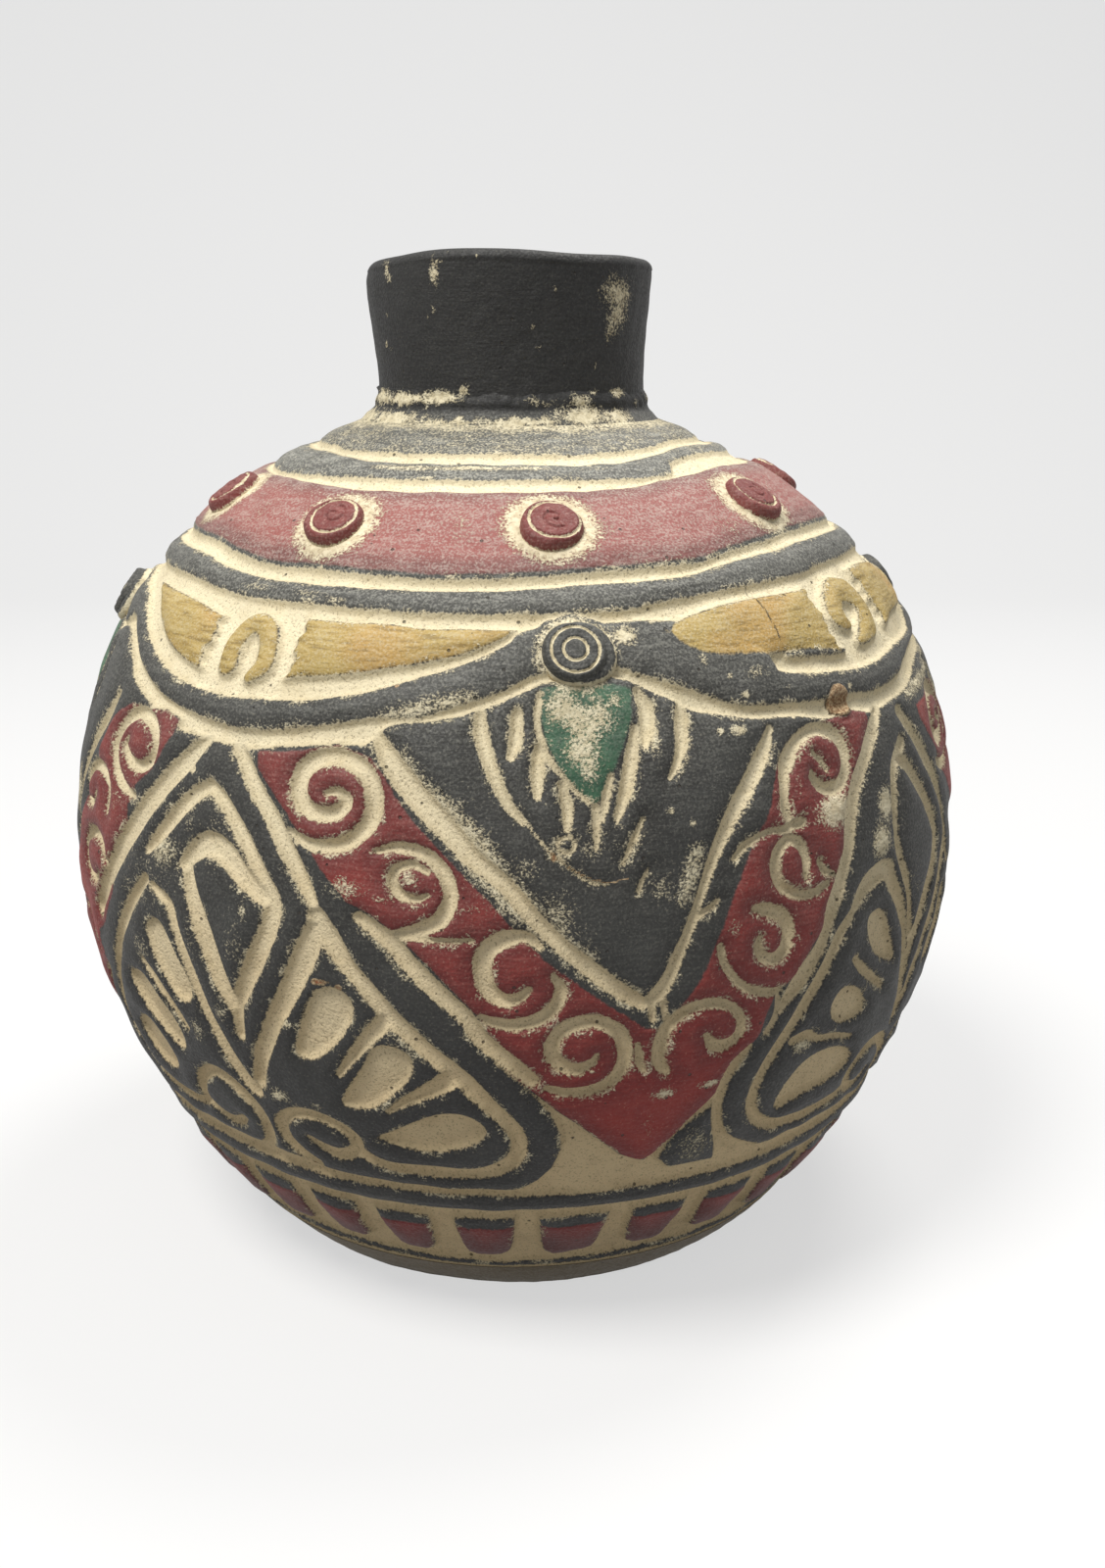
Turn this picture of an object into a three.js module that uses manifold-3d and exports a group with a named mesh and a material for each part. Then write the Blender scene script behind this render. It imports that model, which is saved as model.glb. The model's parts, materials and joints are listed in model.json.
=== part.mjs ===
// A hand-built terracotta vase: a carved, slip-painted globe on a slab foot, with a
// thrown neck luted to its mouth, eight pressed bosses round the shoulder and four
// two-part medallions where the carved swags meet.
// Millimetres, +Z up, origin at the centre of the foot's underside.
// Azimuth is in degrees from the front (-Y), positive towards +X.
import * as THREE from "three";
import { mergeVertices } from "three/addons/utils/BufferGeometryUtils.js";
import Module from "manifold-3d";

// Globe
const belly_radius = 100;
const belly_height = 88;
const foot_radius = 60;
const shoulder_height = 180.5;
const seat_lip = 1;
const wall = 7;

// How far each stretch of the wall's outline runs straight before it bends
const foot_flare_angle = 44;
const foot_pull = 27;
const belly_pull_down = 37;
const belly_pull_up = 53;
const neck_slope_angle = 20;
const neck_pull = 42;

// Foot slab, neck and the clay coil round the neck's seam
const base_thickness = 10;
const neck_height = 33;
const neck_radius = 30;
const neck_wall = 6;
const rim_flare = 1.2;
const neck_swell = 0.8;
const neck_swell_height = 23;
const rim_rounding = 1.6;
const coil_width = 3.2;
const coil_height = 5;
const coil_facets = 4;

// Bosses and medallions, with their distances down the slope from the neck seam
const boss_radius = 6.3;
const boss_height = 2.8;
const boss_rounding = 1.2;
const boss_ring_radius = 4.4;
const boss_drop = 38;
const medallion_radius = 7.5;
const medallion_height = 1.6;
const medallion_drop = 67;
const medallion_azimuths = [8.5, 98.5, 188.5, 278.5];
// Each boss's azimuth, and how much further down than the drop it was pressed
const boss_places = [
  [7.5, 1.5],
  [51, -2],
  [101, -3],
  [143, 0],
  [188, 1.5],
  [232, 0.5],
  [291, -2.5],
  [331, 2],
];
const pellet_root = 2;
const button_radius = 6;
const button_height = 1.7;
const button_rounding = 0.7;
const button_ring_radius = 2.4;
const button_offset = -1.6;
const stamp_width = 0.9;
const stamp_depth = 0.4;

// Carved lines: round the shoulder, measured down from the neck seam, and round the
// foot, measured up from the foot's edge
const line_width = 4;
const line_depth = 1;
const line_floor = 1.6;
const shoulder_lines = [16.5, 26, 52, 60];
const foot_lines = [19, 39, 47.5];

// Swags between the medallions and chevrons under them, as carved lines
const swag_low_drop = 76.5;
const swag_band = 8.8;
const swag_rise = 14;
const swag_half_span = 41;
const chevron_half_span = 40;
const chevron_apex_rise = 54;
const chevron_inner_half_span = 22.5;
const chevron_inner_apex_rise = 92.5;
const chevron_lean = 7;
const channel_stations = 7;

// Fans between the chevrons, as carved lines: [degrees aside, distance up the wall] from
// a middle line that leans with the chevrons, the same on both sides of it
const fan_border = [[13, 107], [19.5, 94], [26, 80], [29.5, 66], [25, 55], [15, 54.5]];
const fan_kite = [[1, 129], [10, 109], [6, 90], [0.5, 66]];
const fan_petals = [
  [[8, 79], [13, 95]],
  [[12.5, 71], [19.5, 83.5]],
  [[16, 61.5], [24, 69]],
];

// Upright bars between the two lowest carved rings
const bar_count = 31;
const bar_azimuth = 2.4;

// The slip joint between pieces pressed together while the clay was soft
const slip_gap = 0.3;

// Facets
const globe_sides = 48;
const neck_sides = 48;
const relief_sides = 18;
const wall_step = 16;
const inner_wall_step = 28;
const slab_edge_steps = 3;
const coil_underside_steps = 2;
const seat_reach = 2.5;
const seat_spans = 10;
const cutter_clearance = 1;
const weld_distance = 1e-4;

// The seat stands out past the neck by its lip, and the mouth carries on the neck's bore
const seat_radius = neck_radius + seat_lip;
const mouth_radius = neck_radius - neck_wall;

const wasm = await Module();
wasm.setup();

const clay = { roughness: 0.95, metalness: 0 };
const colours = {
  charcoal: new THREE.MeshStandardMaterial({ color: 0x3d3e40, ...clay }),
  bare_clay: new THREE.MeshStandardMaterial({ color: 0xb89f78, ...clay }),
  cream: new THREE.MeshStandardMaterial({ color: 0xc8be98, ...clay }),
  red: new THREE.MeshStandardMaterial({ color: 0xa0504c, ...clay }),
};

function radians(degrees) {
  return THREE.MathUtils.degToRad(degrees);
}

// The globe's outline, from the foot's edge over the belly to the neck seat
function globeOutline() {
  const flare = radians(foot_flare_angle);
  const slope = radians(neck_slope_angle);
  const foot = new THREE.Vector2(foot_radius, 0);
  const belly = new THREE.Vector2(belly_radius, belly_height);
  const seat = new THREE.Vector2(seat_radius, shoulder_height);
  const footHandle = new THREE.Vector2(Math.cos(flare), Math.sin(flare))
    .multiplyScalar(foot_pull)
    .add(foot);
  const seatHandle = new THREE.Vector2(Math.cos(slope), -Math.sin(slope))
    .multiplyScalar(neck_pull)
    .add(seat);
  const bellyLow = new THREE.Vector2(belly_radius, belly_height - belly_pull_down);
  const bellyHigh = new THREE.Vector2(belly_radius, belly_height + belly_pull_up);
  const outline = new THREE.CurvePath();
  outline.add(new THREE.CubicBezierCurve(foot, footHandle, bellyLow, belly));
  outline.add(new THREE.CubicBezierCurve(belly, bellyHigh, seatHandle, seat));
  return outline;
}

const outline = globeOutline();
const outline_length = outline.getLength();

// A point of the outline at a distance up the wall from the foot's edge, moved out
// along the wall's normal by lift (in by a negative lift)
function wallPoint(distance, lift = 0) {
  const t = THREE.MathUtils.clamp(distance / outline_length, 0, 1);
  const tangent = outline.getTangent(t);
  const point = outline.getPoint(t);
  point.x += tangent.y * lift;
  point.y -= tangent.x * lift;
  return point;
}

// The distance up the wall at which the outline, moved by lift, reaches a height
function distanceAtHeight(height, lift = 0) {
  let low = 0;
  let high = outline_length;
  for (let i = 0; i < 50; i++) {
    const middle = (low + high) / 2;
    if (wallPoint(middle, lift).y < height) low = middle;
    else high = middle;
  }
  return (low + high) / 2;
}

// The place on the wall at an azimuth and a distance, as a frame whose z points out
// of the wall, x runs round it and y runs up it
function wallFrame(azimuth, distance) {
  const turn = radians(azimuth);
  const point = wallPoint(distance);
  const out = wallPoint(distance, 1).sub(point);
  const position = new THREE.Vector3(
    point.x * Math.sin(turn),
    -point.x * Math.cos(turn),
    point.y,
  );
  const normal = new THREE.Vector3(
    out.x * Math.sin(turn),
    -out.x * Math.cos(turn),
    out.y,
  ).normalize();
  const around = new THREE.Vector3(Math.cos(turn), Math.sin(turn), 0);
  const up = new THREE.Vector3().crossVectors(normal, around);
  return new THREE.Matrix4().makeBasis(around, up, normal).setPosition(position);
}

// A profile of [radius, height] points turned about the z axis
function turned(profile, sides) {
  const points = profile.map(([radius, height]) => new THREE.Vector2(radius, height));
  return new THREE.LatheGeometry(points, sides).rotateX(Math.PI / 2);
}

function solidOf(geometry) {
  const bare = geometry.clone();
  bare.deleteAttribute("normal");
  bare.deleteAttribute("uv");
  const merged = mergeVertices(bare, weld_distance);
  return new wasm.Manifold(
    new wasm.Mesh({
      numProp: 3,
      vertProperties: new Float32Array(merged.attributes.position.array),
      triVerts: new Uint32Array(merged.index.array),
    }),
  );
}

function geometryOf(solid) {
  const mesh = solid.getMesh();
  const geometry = new THREE.BufferGeometry();
  const positions = new THREE.BufferAttribute(mesh.vertProperties, 3);
  geometry.setAttribute("position", positions);
  geometry.setIndex(new THREE.BufferAttribute(mesh.triVerts, 1));
  geometry.computeVertexNormals();
  return geometry;
}

// Outer wall points between two distances, dipping into each carved ring
function grooves() {
  const fromNeck = shoulder_lines.map((drop) => outline_length - drop);
  return [...foot_lines, ...fromNeck];
}

function outerWall(from, to) {
  const lines = grooves();
  const clear = (d) => lines.every((c) => Math.abs(d - c) > line_width);
  const stops = [[from, 0], [to, 0]];
  for (let d = from + wall_step; d < to - wall_step / 2; d += wall_step) {
    if (clear(d)) stops.push([d, 0]);
  }
  for (const c of lines) {
    stops.push([c - line_width / 2, 0]);
    stops.push([c - line_floor / 2, -line_depth]);
    stops.push([c + line_floor / 2, -line_depth]);
    stops.push([c + line_width / 2, 0]);
  }
  stops.sort((a, b) => a[0] - b[0]);
  return stops.map(([d, lift]) => wallPoint(d, lift).toArray());
}

// The globe's wall, open at its mouth and where it stands on the foot slab
function globeProfile() {
  const outer = outerWall(distanceAtHeight(base_thickness), outline_length);
  outer[0][1] = base_thickness;
  const innerStart = distanceAtHeight(base_thickness, -wall);
  const innerSteps = Math.ceil((outline_length - innerStart) / inner_wall_step);
  const inner = [];
  for (let i = innerSteps; i >= 0; i--) {
    const distance = innerStart + ((outline_length - innerStart) * i) / innerSteps;
    inner.push(wallPoint(distance, -wall).toArray());
  }
  const ceiling = inner[0][1];
  inner[inner.length - 1][1] = base_thickness;
  return [
    ...outer,
    [mouth_radius, shoulder_height],
    [mouth_radius, ceiling],
    ...inner,
    outer[0],
  ];
}

// A carving tool's path: at each station a slanted-sided bar that dips into the wall
function channelCutter(route) {
  const lift = cutter_clearance;
  const side_slope = (line_width - line_floor) / 2 / line_depth;
  const spread = line_width / 2 + lift * side_slope;
  const positions = [];
  const index = [];
  const places = route.map(([azimuth, distance]) => wallFrame(azimuth, distance));
  const centres = places.map((m) => new THREE.Vector3().setFromMatrixPosition(m));
  places.forEach((place, i) => {
    const normal = new THREE.Vector3().setFromMatrixColumn(place, 2);
    const before = centres[Math.max(i - 1, 0)];
    const after = centres[Math.min(i + 1, centres.length - 1)];
    const along = new THREE.Vector3().subVectors(after, before).normalize();
    const side = new THREE.Vector3().crossVectors(normal, along).normalize();
    const corners = [
      [-spread, lift],
      [-line_floor / 2, -line_depth],
      [line_floor / 2, -line_depth],
      [spread, lift],
    ];
    for (const [across, out] of corners) {
      const corner = centres[i]
        .clone()
        .addScaledVector(side, across)
        .addScaledVector(normal, out);
      positions.push(...corner.toArray());
    }
  });
  for (let i = 0; i + 1 < route.length; i++) {
    for (let k = 0; k < 4; k++) {
      const a = 4 * i + k;
      const b = 4 * i + ((k + 1) % 4);
      index.push(a, b, b + 4, a, b + 4, a + 4);
    }
  }
  const end = 4 * (route.length - 1);
  index.push(0, 2, 1, 0, 3, 2, end, end + 1, end + 2, end, end + 2, end + 3);
  const geometry = new THREE.BufferGeometry();
  const attribute = new THREE.Float32BufferAttribute(positions, 3);
  geometry.setAttribute("position", attribute);
  geometry.setIndex(index);
  return geometry;
}

// Both edges of the swag that hangs half a turn of the pattern before a medallion
function swagRoutes(azimuth) {
  const spacing = 360 / medallion_azimuths.length;
  const middle = azimuth - spacing / 2;
  return [swag_low_drop, swag_low_drop + swag_band].map((drop) => {
    const route = [];
    for (let i = 0; i <= channel_stations; i++) {
      const share = (2 * i) / channel_stations - 1;
      const rise = swag_rise * share * share;
      route.push([middle + share * swag_half_span, outline_length - drop + rise]);
    }
    return route;
  });
}

// A V below a medallion: its arms start at the swag's lower edge
function chevronRoute(azimuth, halfSpan, apexRise) {
  const top = outline_length - swag_low_drop - swag_band;
  const apex = [azimuth + chevron_lean, apexRise];
  const left = [azimuth - halfSpan, top];
  const right = [azimuth + halfSpan, top];
  const route = [];
  for (let i = 0; i <= 2 * channel_stations; i++) {
    const arm = i < channel_stations ? left : right;
    const share = Math.abs(i / channel_stations - 1);
    route.push([
      THREE.MathUtils.lerp(apex[0], arm[0], share),
      THREE.MathUtils.lerp(apex[1], arm[1], share),
    ]);
  }
  return route;
}

// The lines of the fan that stands half a turn of the pattern before a medallion
function fanRoutes(azimuth) {
  const spacing = 360 / medallion_azimuths.length;
  const top = outline_length - swag_low_drop - swag_band;
  const lean = chevron_lean / (top - chevron_apex_rise);
  const placed = (line, side) =>
    line.map(([aside, distance]) => {
      const middle = azimuth - spacing / 2 + lean * (top - distance);
      return [middle + side * aside, distance];
    });
  const lines = [fan_border, fan_kite, ...fan_petals];
  return lines.flatMap((line) => [placed(line, -1), placed(line, 1)]);
}

// The bars round the foot, from the middle of one carved ring to that of the next
function barRoutes() {
  const [low, high] = foot_lines;
  return Array.from({ length: bar_count }, (_, i) => {
    const azimuth = bar_azimuth + (360 * i) / bar_count;
    return [[azimuth, low], [azimuth, high]];
  });
}

function globe() {
  const routes = barRoutes();
  for (const azimuth of medallion_azimuths) {
    routes.push(
      ...swagRoutes(azimuth),
      chevronRoute(azimuth, chevron_half_span, chevron_apex_rise),
      chevronRoute(azimuth, chevron_inner_half_span, chevron_inner_apex_rise),
      ...fanRoutes(azimuth),
    );
  }
  let solid = solidOf(turned(globeProfile(), globe_sides));
  for (const route of routes) {
    solid = solid.subtract(solidOf(channelCutter(route)));
  }
  return geometryOf(solid);
}

// The slab that closes the bottom: its edge carries on the globe's outline
function footSlab() {
  const edge = [];
  const seam = distanceAtHeight(base_thickness);
  for (let i = 0; i <= slab_edge_steps; i++) {
    edge.push(wallPoint((seam * i) / slab_edge_steps).toArray());
  }
  edge[slab_edge_steps][1] = base_thickness;
  return turned([[0, 0], ...edge, [0, base_thickness]], globe_sides);
}

// The thrown neck, standing on the globe's seat
function neck() {
  const rim_radius = neck_radius + rim_flare;
  const top = neck_height;
  const inner_rim = rim_radius - neck_wall;
  const profile = [
    [neck_radius, 0],
    [neck_radius, coil_height],
    [neck_radius + neck_swell, neck_swell_height],
    [rim_radius, top - rim_rounding],
    [rim_radius - rim_rounding, top],
    [inner_rim + rim_rounding, top],
    [inner_rim, top - rim_rounding],
    [mouth_radius, 0],
    [neck_radius, 0],
  ];
  return turned(profile, neck_sides);
}

// The coil of clay smoothed into the corner between neck and shoulder
function lutingCoil() {
  const inside = neck_radius + slip_gap;
  const underside = [];
  const reach = coil_width - seat_lip;
  for (let i = 0; i <= coil_underside_steps; i++) {
    const drop = (reach * i) / coil_underside_steps;
    underside.push(wallPoint(outline_length - drop, slip_gap).toArray());
  }
  const [outer_radius, outer_height] = underside[coil_underside_steps];
  const top = shoulder_height + coil_height;
  const rise = top - outer_height;
  const width = outer_radius - inside;
  const shoulder = [];
  for (let i = 1; i < coil_facets; i++) {
    const turn = (i * Math.PI) / 2 / coil_facets;
    shoulder.push([
      inside + width * Math.cos(turn),
      outer_height + rise * Math.sin(turn),
    ]);
  }
  const profile = [
    [inside, underside[0][1]],
    ...underside,
    ...shoulder,
    [inside, top],
    [inside, underside[0][1]],
  ];
  return turned(profile, neck_sides);
}

// A shallow stamped ring in the top of a boss or a button
function stampedRing(radius, height) {
  const half = stamp_width / 2;
  return [
    [radius + half, height],
    [radius, height - stamp_depth],
    [radius - half, height],
  ];
}

// A round pellet pressed onto the wall: its underside follows the wall
function pressedPellet(profile, distance) {
  const reach = seat_reach * profile[1][0];
  const body = [];
  for (let i = 0; i <= seat_spans; i++) {
    const along = distance + reach * ((2 * i) / seat_spans - 1);
    body.push(wallPoint(along, slip_gap).toArray());
  }
  const closed = [[0, body[0][1]], ...body, [0, body[seat_spans][1]]];
  const wallSolid = solidOf(turned(closed, 2 * globe_sides));
  const place = wallFrame(0, distance);
  const pellet = solidOf(turned(profile, relief_sides).applyMatrix4(place));
  const trimmed = geometryOf(pellet.subtract(wallSolid));
  return trimmed.applyMatrix4(place.clone().invert());
}

function bossGeometry(distance) {
  const root = -pellet_root;
  const profile = [
    [0, root],
    [boss_radius, root],
    [boss_radius, boss_height - boss_rounding],
    [boss_radius - boss_rounding, boss_height],
    ...stampedRing(boss_ring_radius, boss_height),
    [0, boss_height],
  ];
  return pressedPellet(profile, distance);
}

function medallionBackGeometry(distance) {
  const root = -pellet_root;
  const profile = [
    [0, root],
    [medallion_radius, root],
    [medallion_radius, medallion_height],
    [0, medallion_height],
  ];
  return pressedPellet(profile, distance);
}

function buttonGeometry() {
  const profile = [
    [0, 0],
    [button_radius, 0],
    [button_radius, button_height - button_rounding],
    [button_radius - button_rounding, button_height],
    ...stampedRing(button_ring_radius, button_height),
    [0, button_height],
  ];
  return turned(profile, relief_sides);
}

function piece(name, geometry, material) {
  const mesh = new THREE.Mesh(geometry, material);
  mesh.name = name;
  return mesh;
}

// Stands an object on the wall, its z axis pointing out
function onWall(object, azimuth, distance) {
  const place = wallFrame(azimuth, distance);
  place.decompose(object.position, object.quaternion, object.scale);
  return object;
}

const vase = new THREE.Group();
vase.add(piece("base_disc", footSlab(), colours.bare_clay));
vase.add(piece("body_shell", globe(), colours.cream));
const neckMesh = piece("neck_collar", neck(), colours.charcoal);
neckMesh.position.z = shoulder_height;
vase.add(neckMesh);
vase.add(piece("neck_luting_coil", lutingCoil(), colours.cream));

boss_places.forEach(([azimuth, further], i) => {
  const distance = outline_length - boss_drop - further;
  const mesh = piece(`shoulder_boss_${i + 1}`, bossGeometry(distance), colours.red);
  vase.add(onWall(mesh, azimuth, distance));
});

const medallion_distance = outline_length - medallion_drop;
const medallionBack = medallionBackGeometry(medallion_distance);
const button = buttonGeometry();
medallion_azimuths.forEach((azimuth, i) => {
  const medallion = new THREE.Group();
  medallion.add(piece(`medallion_back_${i + 1}`, medallionBack, colours.charcoal));
  const cap = piece(`medallion_button_${i + 1}`, button, colours.charcoal);
  cap.position.set(button_offset, 0, medallion_height + slip_gap);
  medallion.add(cap);
  vase.add(onWall(medallion, azimuth, medallion_distance));
});

export default vase;
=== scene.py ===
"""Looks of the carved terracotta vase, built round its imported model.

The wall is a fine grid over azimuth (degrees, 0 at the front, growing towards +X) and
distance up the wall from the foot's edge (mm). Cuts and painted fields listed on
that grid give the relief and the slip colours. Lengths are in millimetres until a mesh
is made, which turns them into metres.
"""

import json

import bpy
import numpy as np
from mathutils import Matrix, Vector

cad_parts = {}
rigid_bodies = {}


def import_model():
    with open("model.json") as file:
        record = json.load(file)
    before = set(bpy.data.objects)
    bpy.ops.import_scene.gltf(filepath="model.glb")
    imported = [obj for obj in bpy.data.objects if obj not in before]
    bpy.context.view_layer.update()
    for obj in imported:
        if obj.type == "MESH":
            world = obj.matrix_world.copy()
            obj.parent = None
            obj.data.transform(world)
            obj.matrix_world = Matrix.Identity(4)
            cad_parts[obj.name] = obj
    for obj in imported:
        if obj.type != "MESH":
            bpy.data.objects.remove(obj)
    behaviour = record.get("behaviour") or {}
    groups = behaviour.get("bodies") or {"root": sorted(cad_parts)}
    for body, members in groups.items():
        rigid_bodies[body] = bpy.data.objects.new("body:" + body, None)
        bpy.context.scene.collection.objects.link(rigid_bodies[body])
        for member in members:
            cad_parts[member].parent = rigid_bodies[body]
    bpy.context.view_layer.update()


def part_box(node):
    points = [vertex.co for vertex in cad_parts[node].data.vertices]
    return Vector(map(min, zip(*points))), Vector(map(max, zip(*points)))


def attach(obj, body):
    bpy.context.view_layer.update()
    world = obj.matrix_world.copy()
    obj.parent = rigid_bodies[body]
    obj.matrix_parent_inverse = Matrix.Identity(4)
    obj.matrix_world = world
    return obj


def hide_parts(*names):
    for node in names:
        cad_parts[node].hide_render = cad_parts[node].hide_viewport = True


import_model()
MM = 0.001
BODY = "root"

# Camera: the photograph's, from the vase's outline and its painted rings
CAMERA_PLACE = Vector((8.36, -355.67, 194.52)) * MM
CAMERA_PITCH_DOWN = 15.58
PHOTO_HEIGHT = 1600
FOCAL_PIXELS = 1590.6
FILM_HEIGHT = 36.0


def add_camera():
    data = bpy.data.cameras.new("photo_camera")
    data.sensor_fit = "VERTICAL"
    data.sensor_height = FILM_HEIGHT
    data.lens = FOCAL_PIXELS / PHOTO_HEIGHT * FILM_HEIGHT
    data.clip_start = 0.01
    camera = bpy.data.objects.new("photo_camera", data)
    camera.location = CAMERA_PLACE
    camera.rotation_euler = (np.radians(90 - CAMERA_PITCH_DOWN), 0, 0)
    bpy.context.scene.collection.objects.link(camera)
    bpy.context.scene.camera = camera


add_camera()

# The globe's outline, in millimetres
BELLY_RADIUS = 100.0
BELLY_HEIGHT = 88.0
FOOT_RADIUS = 60.0
FOOT_FLARE = 44.0
FOOT_PULL = 27.0
BELLY_PULL_DOWN = 37.0
BELLY_PULL_UP = 53.0
NECK_SLOPE = 20.0
NECK_PULL = 42.0
SEAT_RADIUS = 31.0


def bezier(a, b, c, d, t):
    """Points on a cubic Bezier curve."""
    a, b, c, d = (np.array(p, float)[None] for p in (a, b, c, d))
    t = t[:, None]
    u = 1 - t
    return a * u**3 + 3 * b * u * u * t + 3 * c * u * t * t + d * t**3


def wall_outline(belly_radius, shoulder_height):
    """Radius and height along the wall, from the foot's edge to the neck, evenly spaced,
    with the distance up the wall of each."""
    t = np.linspace(0, 1, 600)
    flare, slope = np.radians(FOOT_FLARE), np.radians(NECK_SLOPE)
    lower = bezier(
        (FOOT_RADIUS, 0),
        (FOOT_RADIUS + FOOT_PULL * np.cos(flare), FOOT_PULL * np.sin(flare)),
        (belly_radius, BELLY_HEIGHT - BELLY_PULL_DOWN),
        (belly_radius, BELLY_HEIGHT),
        t,
    )
    upper = bezier(
        (belly_radius, BELLY_HEIGHT),
        (belly_radius, BELLY_HEIGHT + BELLY_PULL_UP),
        (SEAT_RADIUS + NECK_PULL * np.cos(slope), shoulder_height - NECK_PULL * np.sin(slope)),
        (SEAT_RADIUS, shoulder_height),
        t,
    )
    points = np.vstack([lower, upper[1:]])
    steps = np.hypot(*np.diff(points, axis=0).T)
    distance = np.concatenate([[0], np.cumsum(steps)])
    return distance, points[:, 0], points[:, 1]


# Edges that run round the vase: (azimuth in degrees, distance up the wall in mm).
# Azimuth 0 faces the photograph's camera, and grows towards +X.
RING_EDGES = {
    "wash_bottom": [(-60, 211.3), (-50, 210), (-30, 209.4), (0, 209.7), (15, 209.4), (32, 210.2),
        (45, 211.5), (60, 213), (100, 212.4), (180, 210.5), (260, 211.6)],
    "band_top": [(-60, 208.6), (-45, 207), (-30, 205.3), (0, 205.1), (25, 205.3), (34, 206.6),
        (45, 208.3), (60, 210), (100, 208.6), (180, 206.4), (260, 208.2)],
    "band_bottom": [(-60, 199.6), (-30, 199.9), (0, 199.5), (20, 199.8), (37, 200.2),
        (40.5, 202.2), (44, 204.8), (60, 206.6), (100, 204.6), (140, 201.5), (180, 200.4),
        (260, 200.2)],
    "red_top": [(-60, 198), (-50, 197.2), (-40, 196.5), (-30, 195.8), (-15, 195.4), (0, 195.3),
        (15, 195.6), (25, 196.5), (30, 197.4), (35, 198.6), (45, 199.6), (60, 201), (100, 199.8),
        (180, 197), (260, 197.8)],
    "red_bottom": [(-60, 178.3), (-50, 176.9), (-40, 175.2), (-30, 174.9), (-20, 174.1),
        (-10, 173.6), (0, 174), (10, 174.7), (20, 175.3), (30, 176.1), (35, 177.6), (40, 178.9),
        (50, 180.4), (60, 181.1), (100, 180), (180, 176.6), (260, 178)],
    "ring_top": [(-60, 173.6), (-50, 172.2), (-40, 171), (-30, 170.3), (-15, 169.9), (0, 170.3),
        (10, 171.1), (20, 171.5), (25, 171.9), (30, 173.1), (35, 174.4), (40, 175.4), (50, 176.5),
        (60, 177.2), (100, 176), (180, 172.4), (260, 173.4)],
    "ring_bottom": [(-60, 168.2), (-50, 167.5), (-40, 166.4), (-30, 166.1), (-20, 165.7),
        (-12, 165.4), (0, 165.3), (15, 165.5), (20, 166.7), (25, 167.6), (30, 168.4), (40, 169.6),
        (50, 170.3), (60, 171.4), (100, 170.6), (180, 167.4), (260, 168)],
    "base_top": [(-60, 50.2), (-46, 50.4), (-36, 50), (-33, 50.6), (-30, 50), (-27.5, 49.4),
        (-25, 48.3), (-20, 47.8), (-15, 47.5), (-5, 47.2), (0, 47.4), (2.5, 48.6), (5, 50.2),
        (28, 50.6), (31, 51.2), (34, 50.3), (38, 50.1), (45, 50.2), (55, 50.4)],
}
# The swags, as the left one in front shows them, repeated under the other medallions
SWAG_EDGES = {
    "ochre_top": [(-66, 164.2), (-60, 164.1), (-50, 163.2), (-45, 162), (-41, 161.2), (-36, 162.6),
        (-30, 162.6), (-25, 162.5), (-15, 162.5), (-10, 161.9), (-4, 162), (2, 161.6)],
    "ochre_bottom": [(-66, 164.4), (-62, 162.5), (-60, 161.1), (-57, 158.6), (-55, 156.8),
        (-50, 153.2), (-45, 150.9), (-40, 149.6), (-34, 149), (-28, 150.1), (-25, 151.1),
        (-20, 152.1), (-15, 153.7), (-10, 155.3), (-5, 157.3), (0, 160.4), (2, 161.8)],
    "swag_top": [(-77, 162.6), (-73, 161.6), (-68, 160.4), (-62, 157.1), (-57, 153.2),
        (-55, 151.8), (-50, 148.9), (-45, 146.9), (-40, 145.9), (-35, 145.5), (-30, 145.9),
        (-25, 146.4), (-20, 147.7), (-15, 149.6), (-10, 152.4), (-5, 155.1), (0, 158.7),
        (4, 162.2)],
    "swag_bottom": [(-77, 154.4), (-72, 152.6), (-68, 155.4), (-62, 153.2), (-57, 149.3),
        (-55, 147.9), (-50, 144.6), (-45, 142.6), (-40, 141.4), (-35, 140.5), (-30, 140.4),
        (-25, 141.4), (-20, 142.9), (-15, 144.6), (-12, 144.8), (-10, 145), (-8, 146), (-5, 147.6),
        (0, 150.5), (4, 153.4)],
    "field_top": [(-77, 152.4), (-73, 150.4), (-70, 152), (-66, 152.6), (-62, 150.4), (-59, 147.6),
        (-56, 144.6), (-53, 142.4), (-50, 141), (-45, 137.9), (-40, 137.3), (-35, 136.8),
        (-30, 136.6), (-25, 137.9), (-20, 138.9), (-16, 139.4), (-15, 140), (-13.5, 142.6),
        (-12, 143.6), (-9, 144.2), (-7, 144.8), (-5, 145.5), (0, 148.4), (3, 150.5), (5, 151.6)],
}
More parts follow.
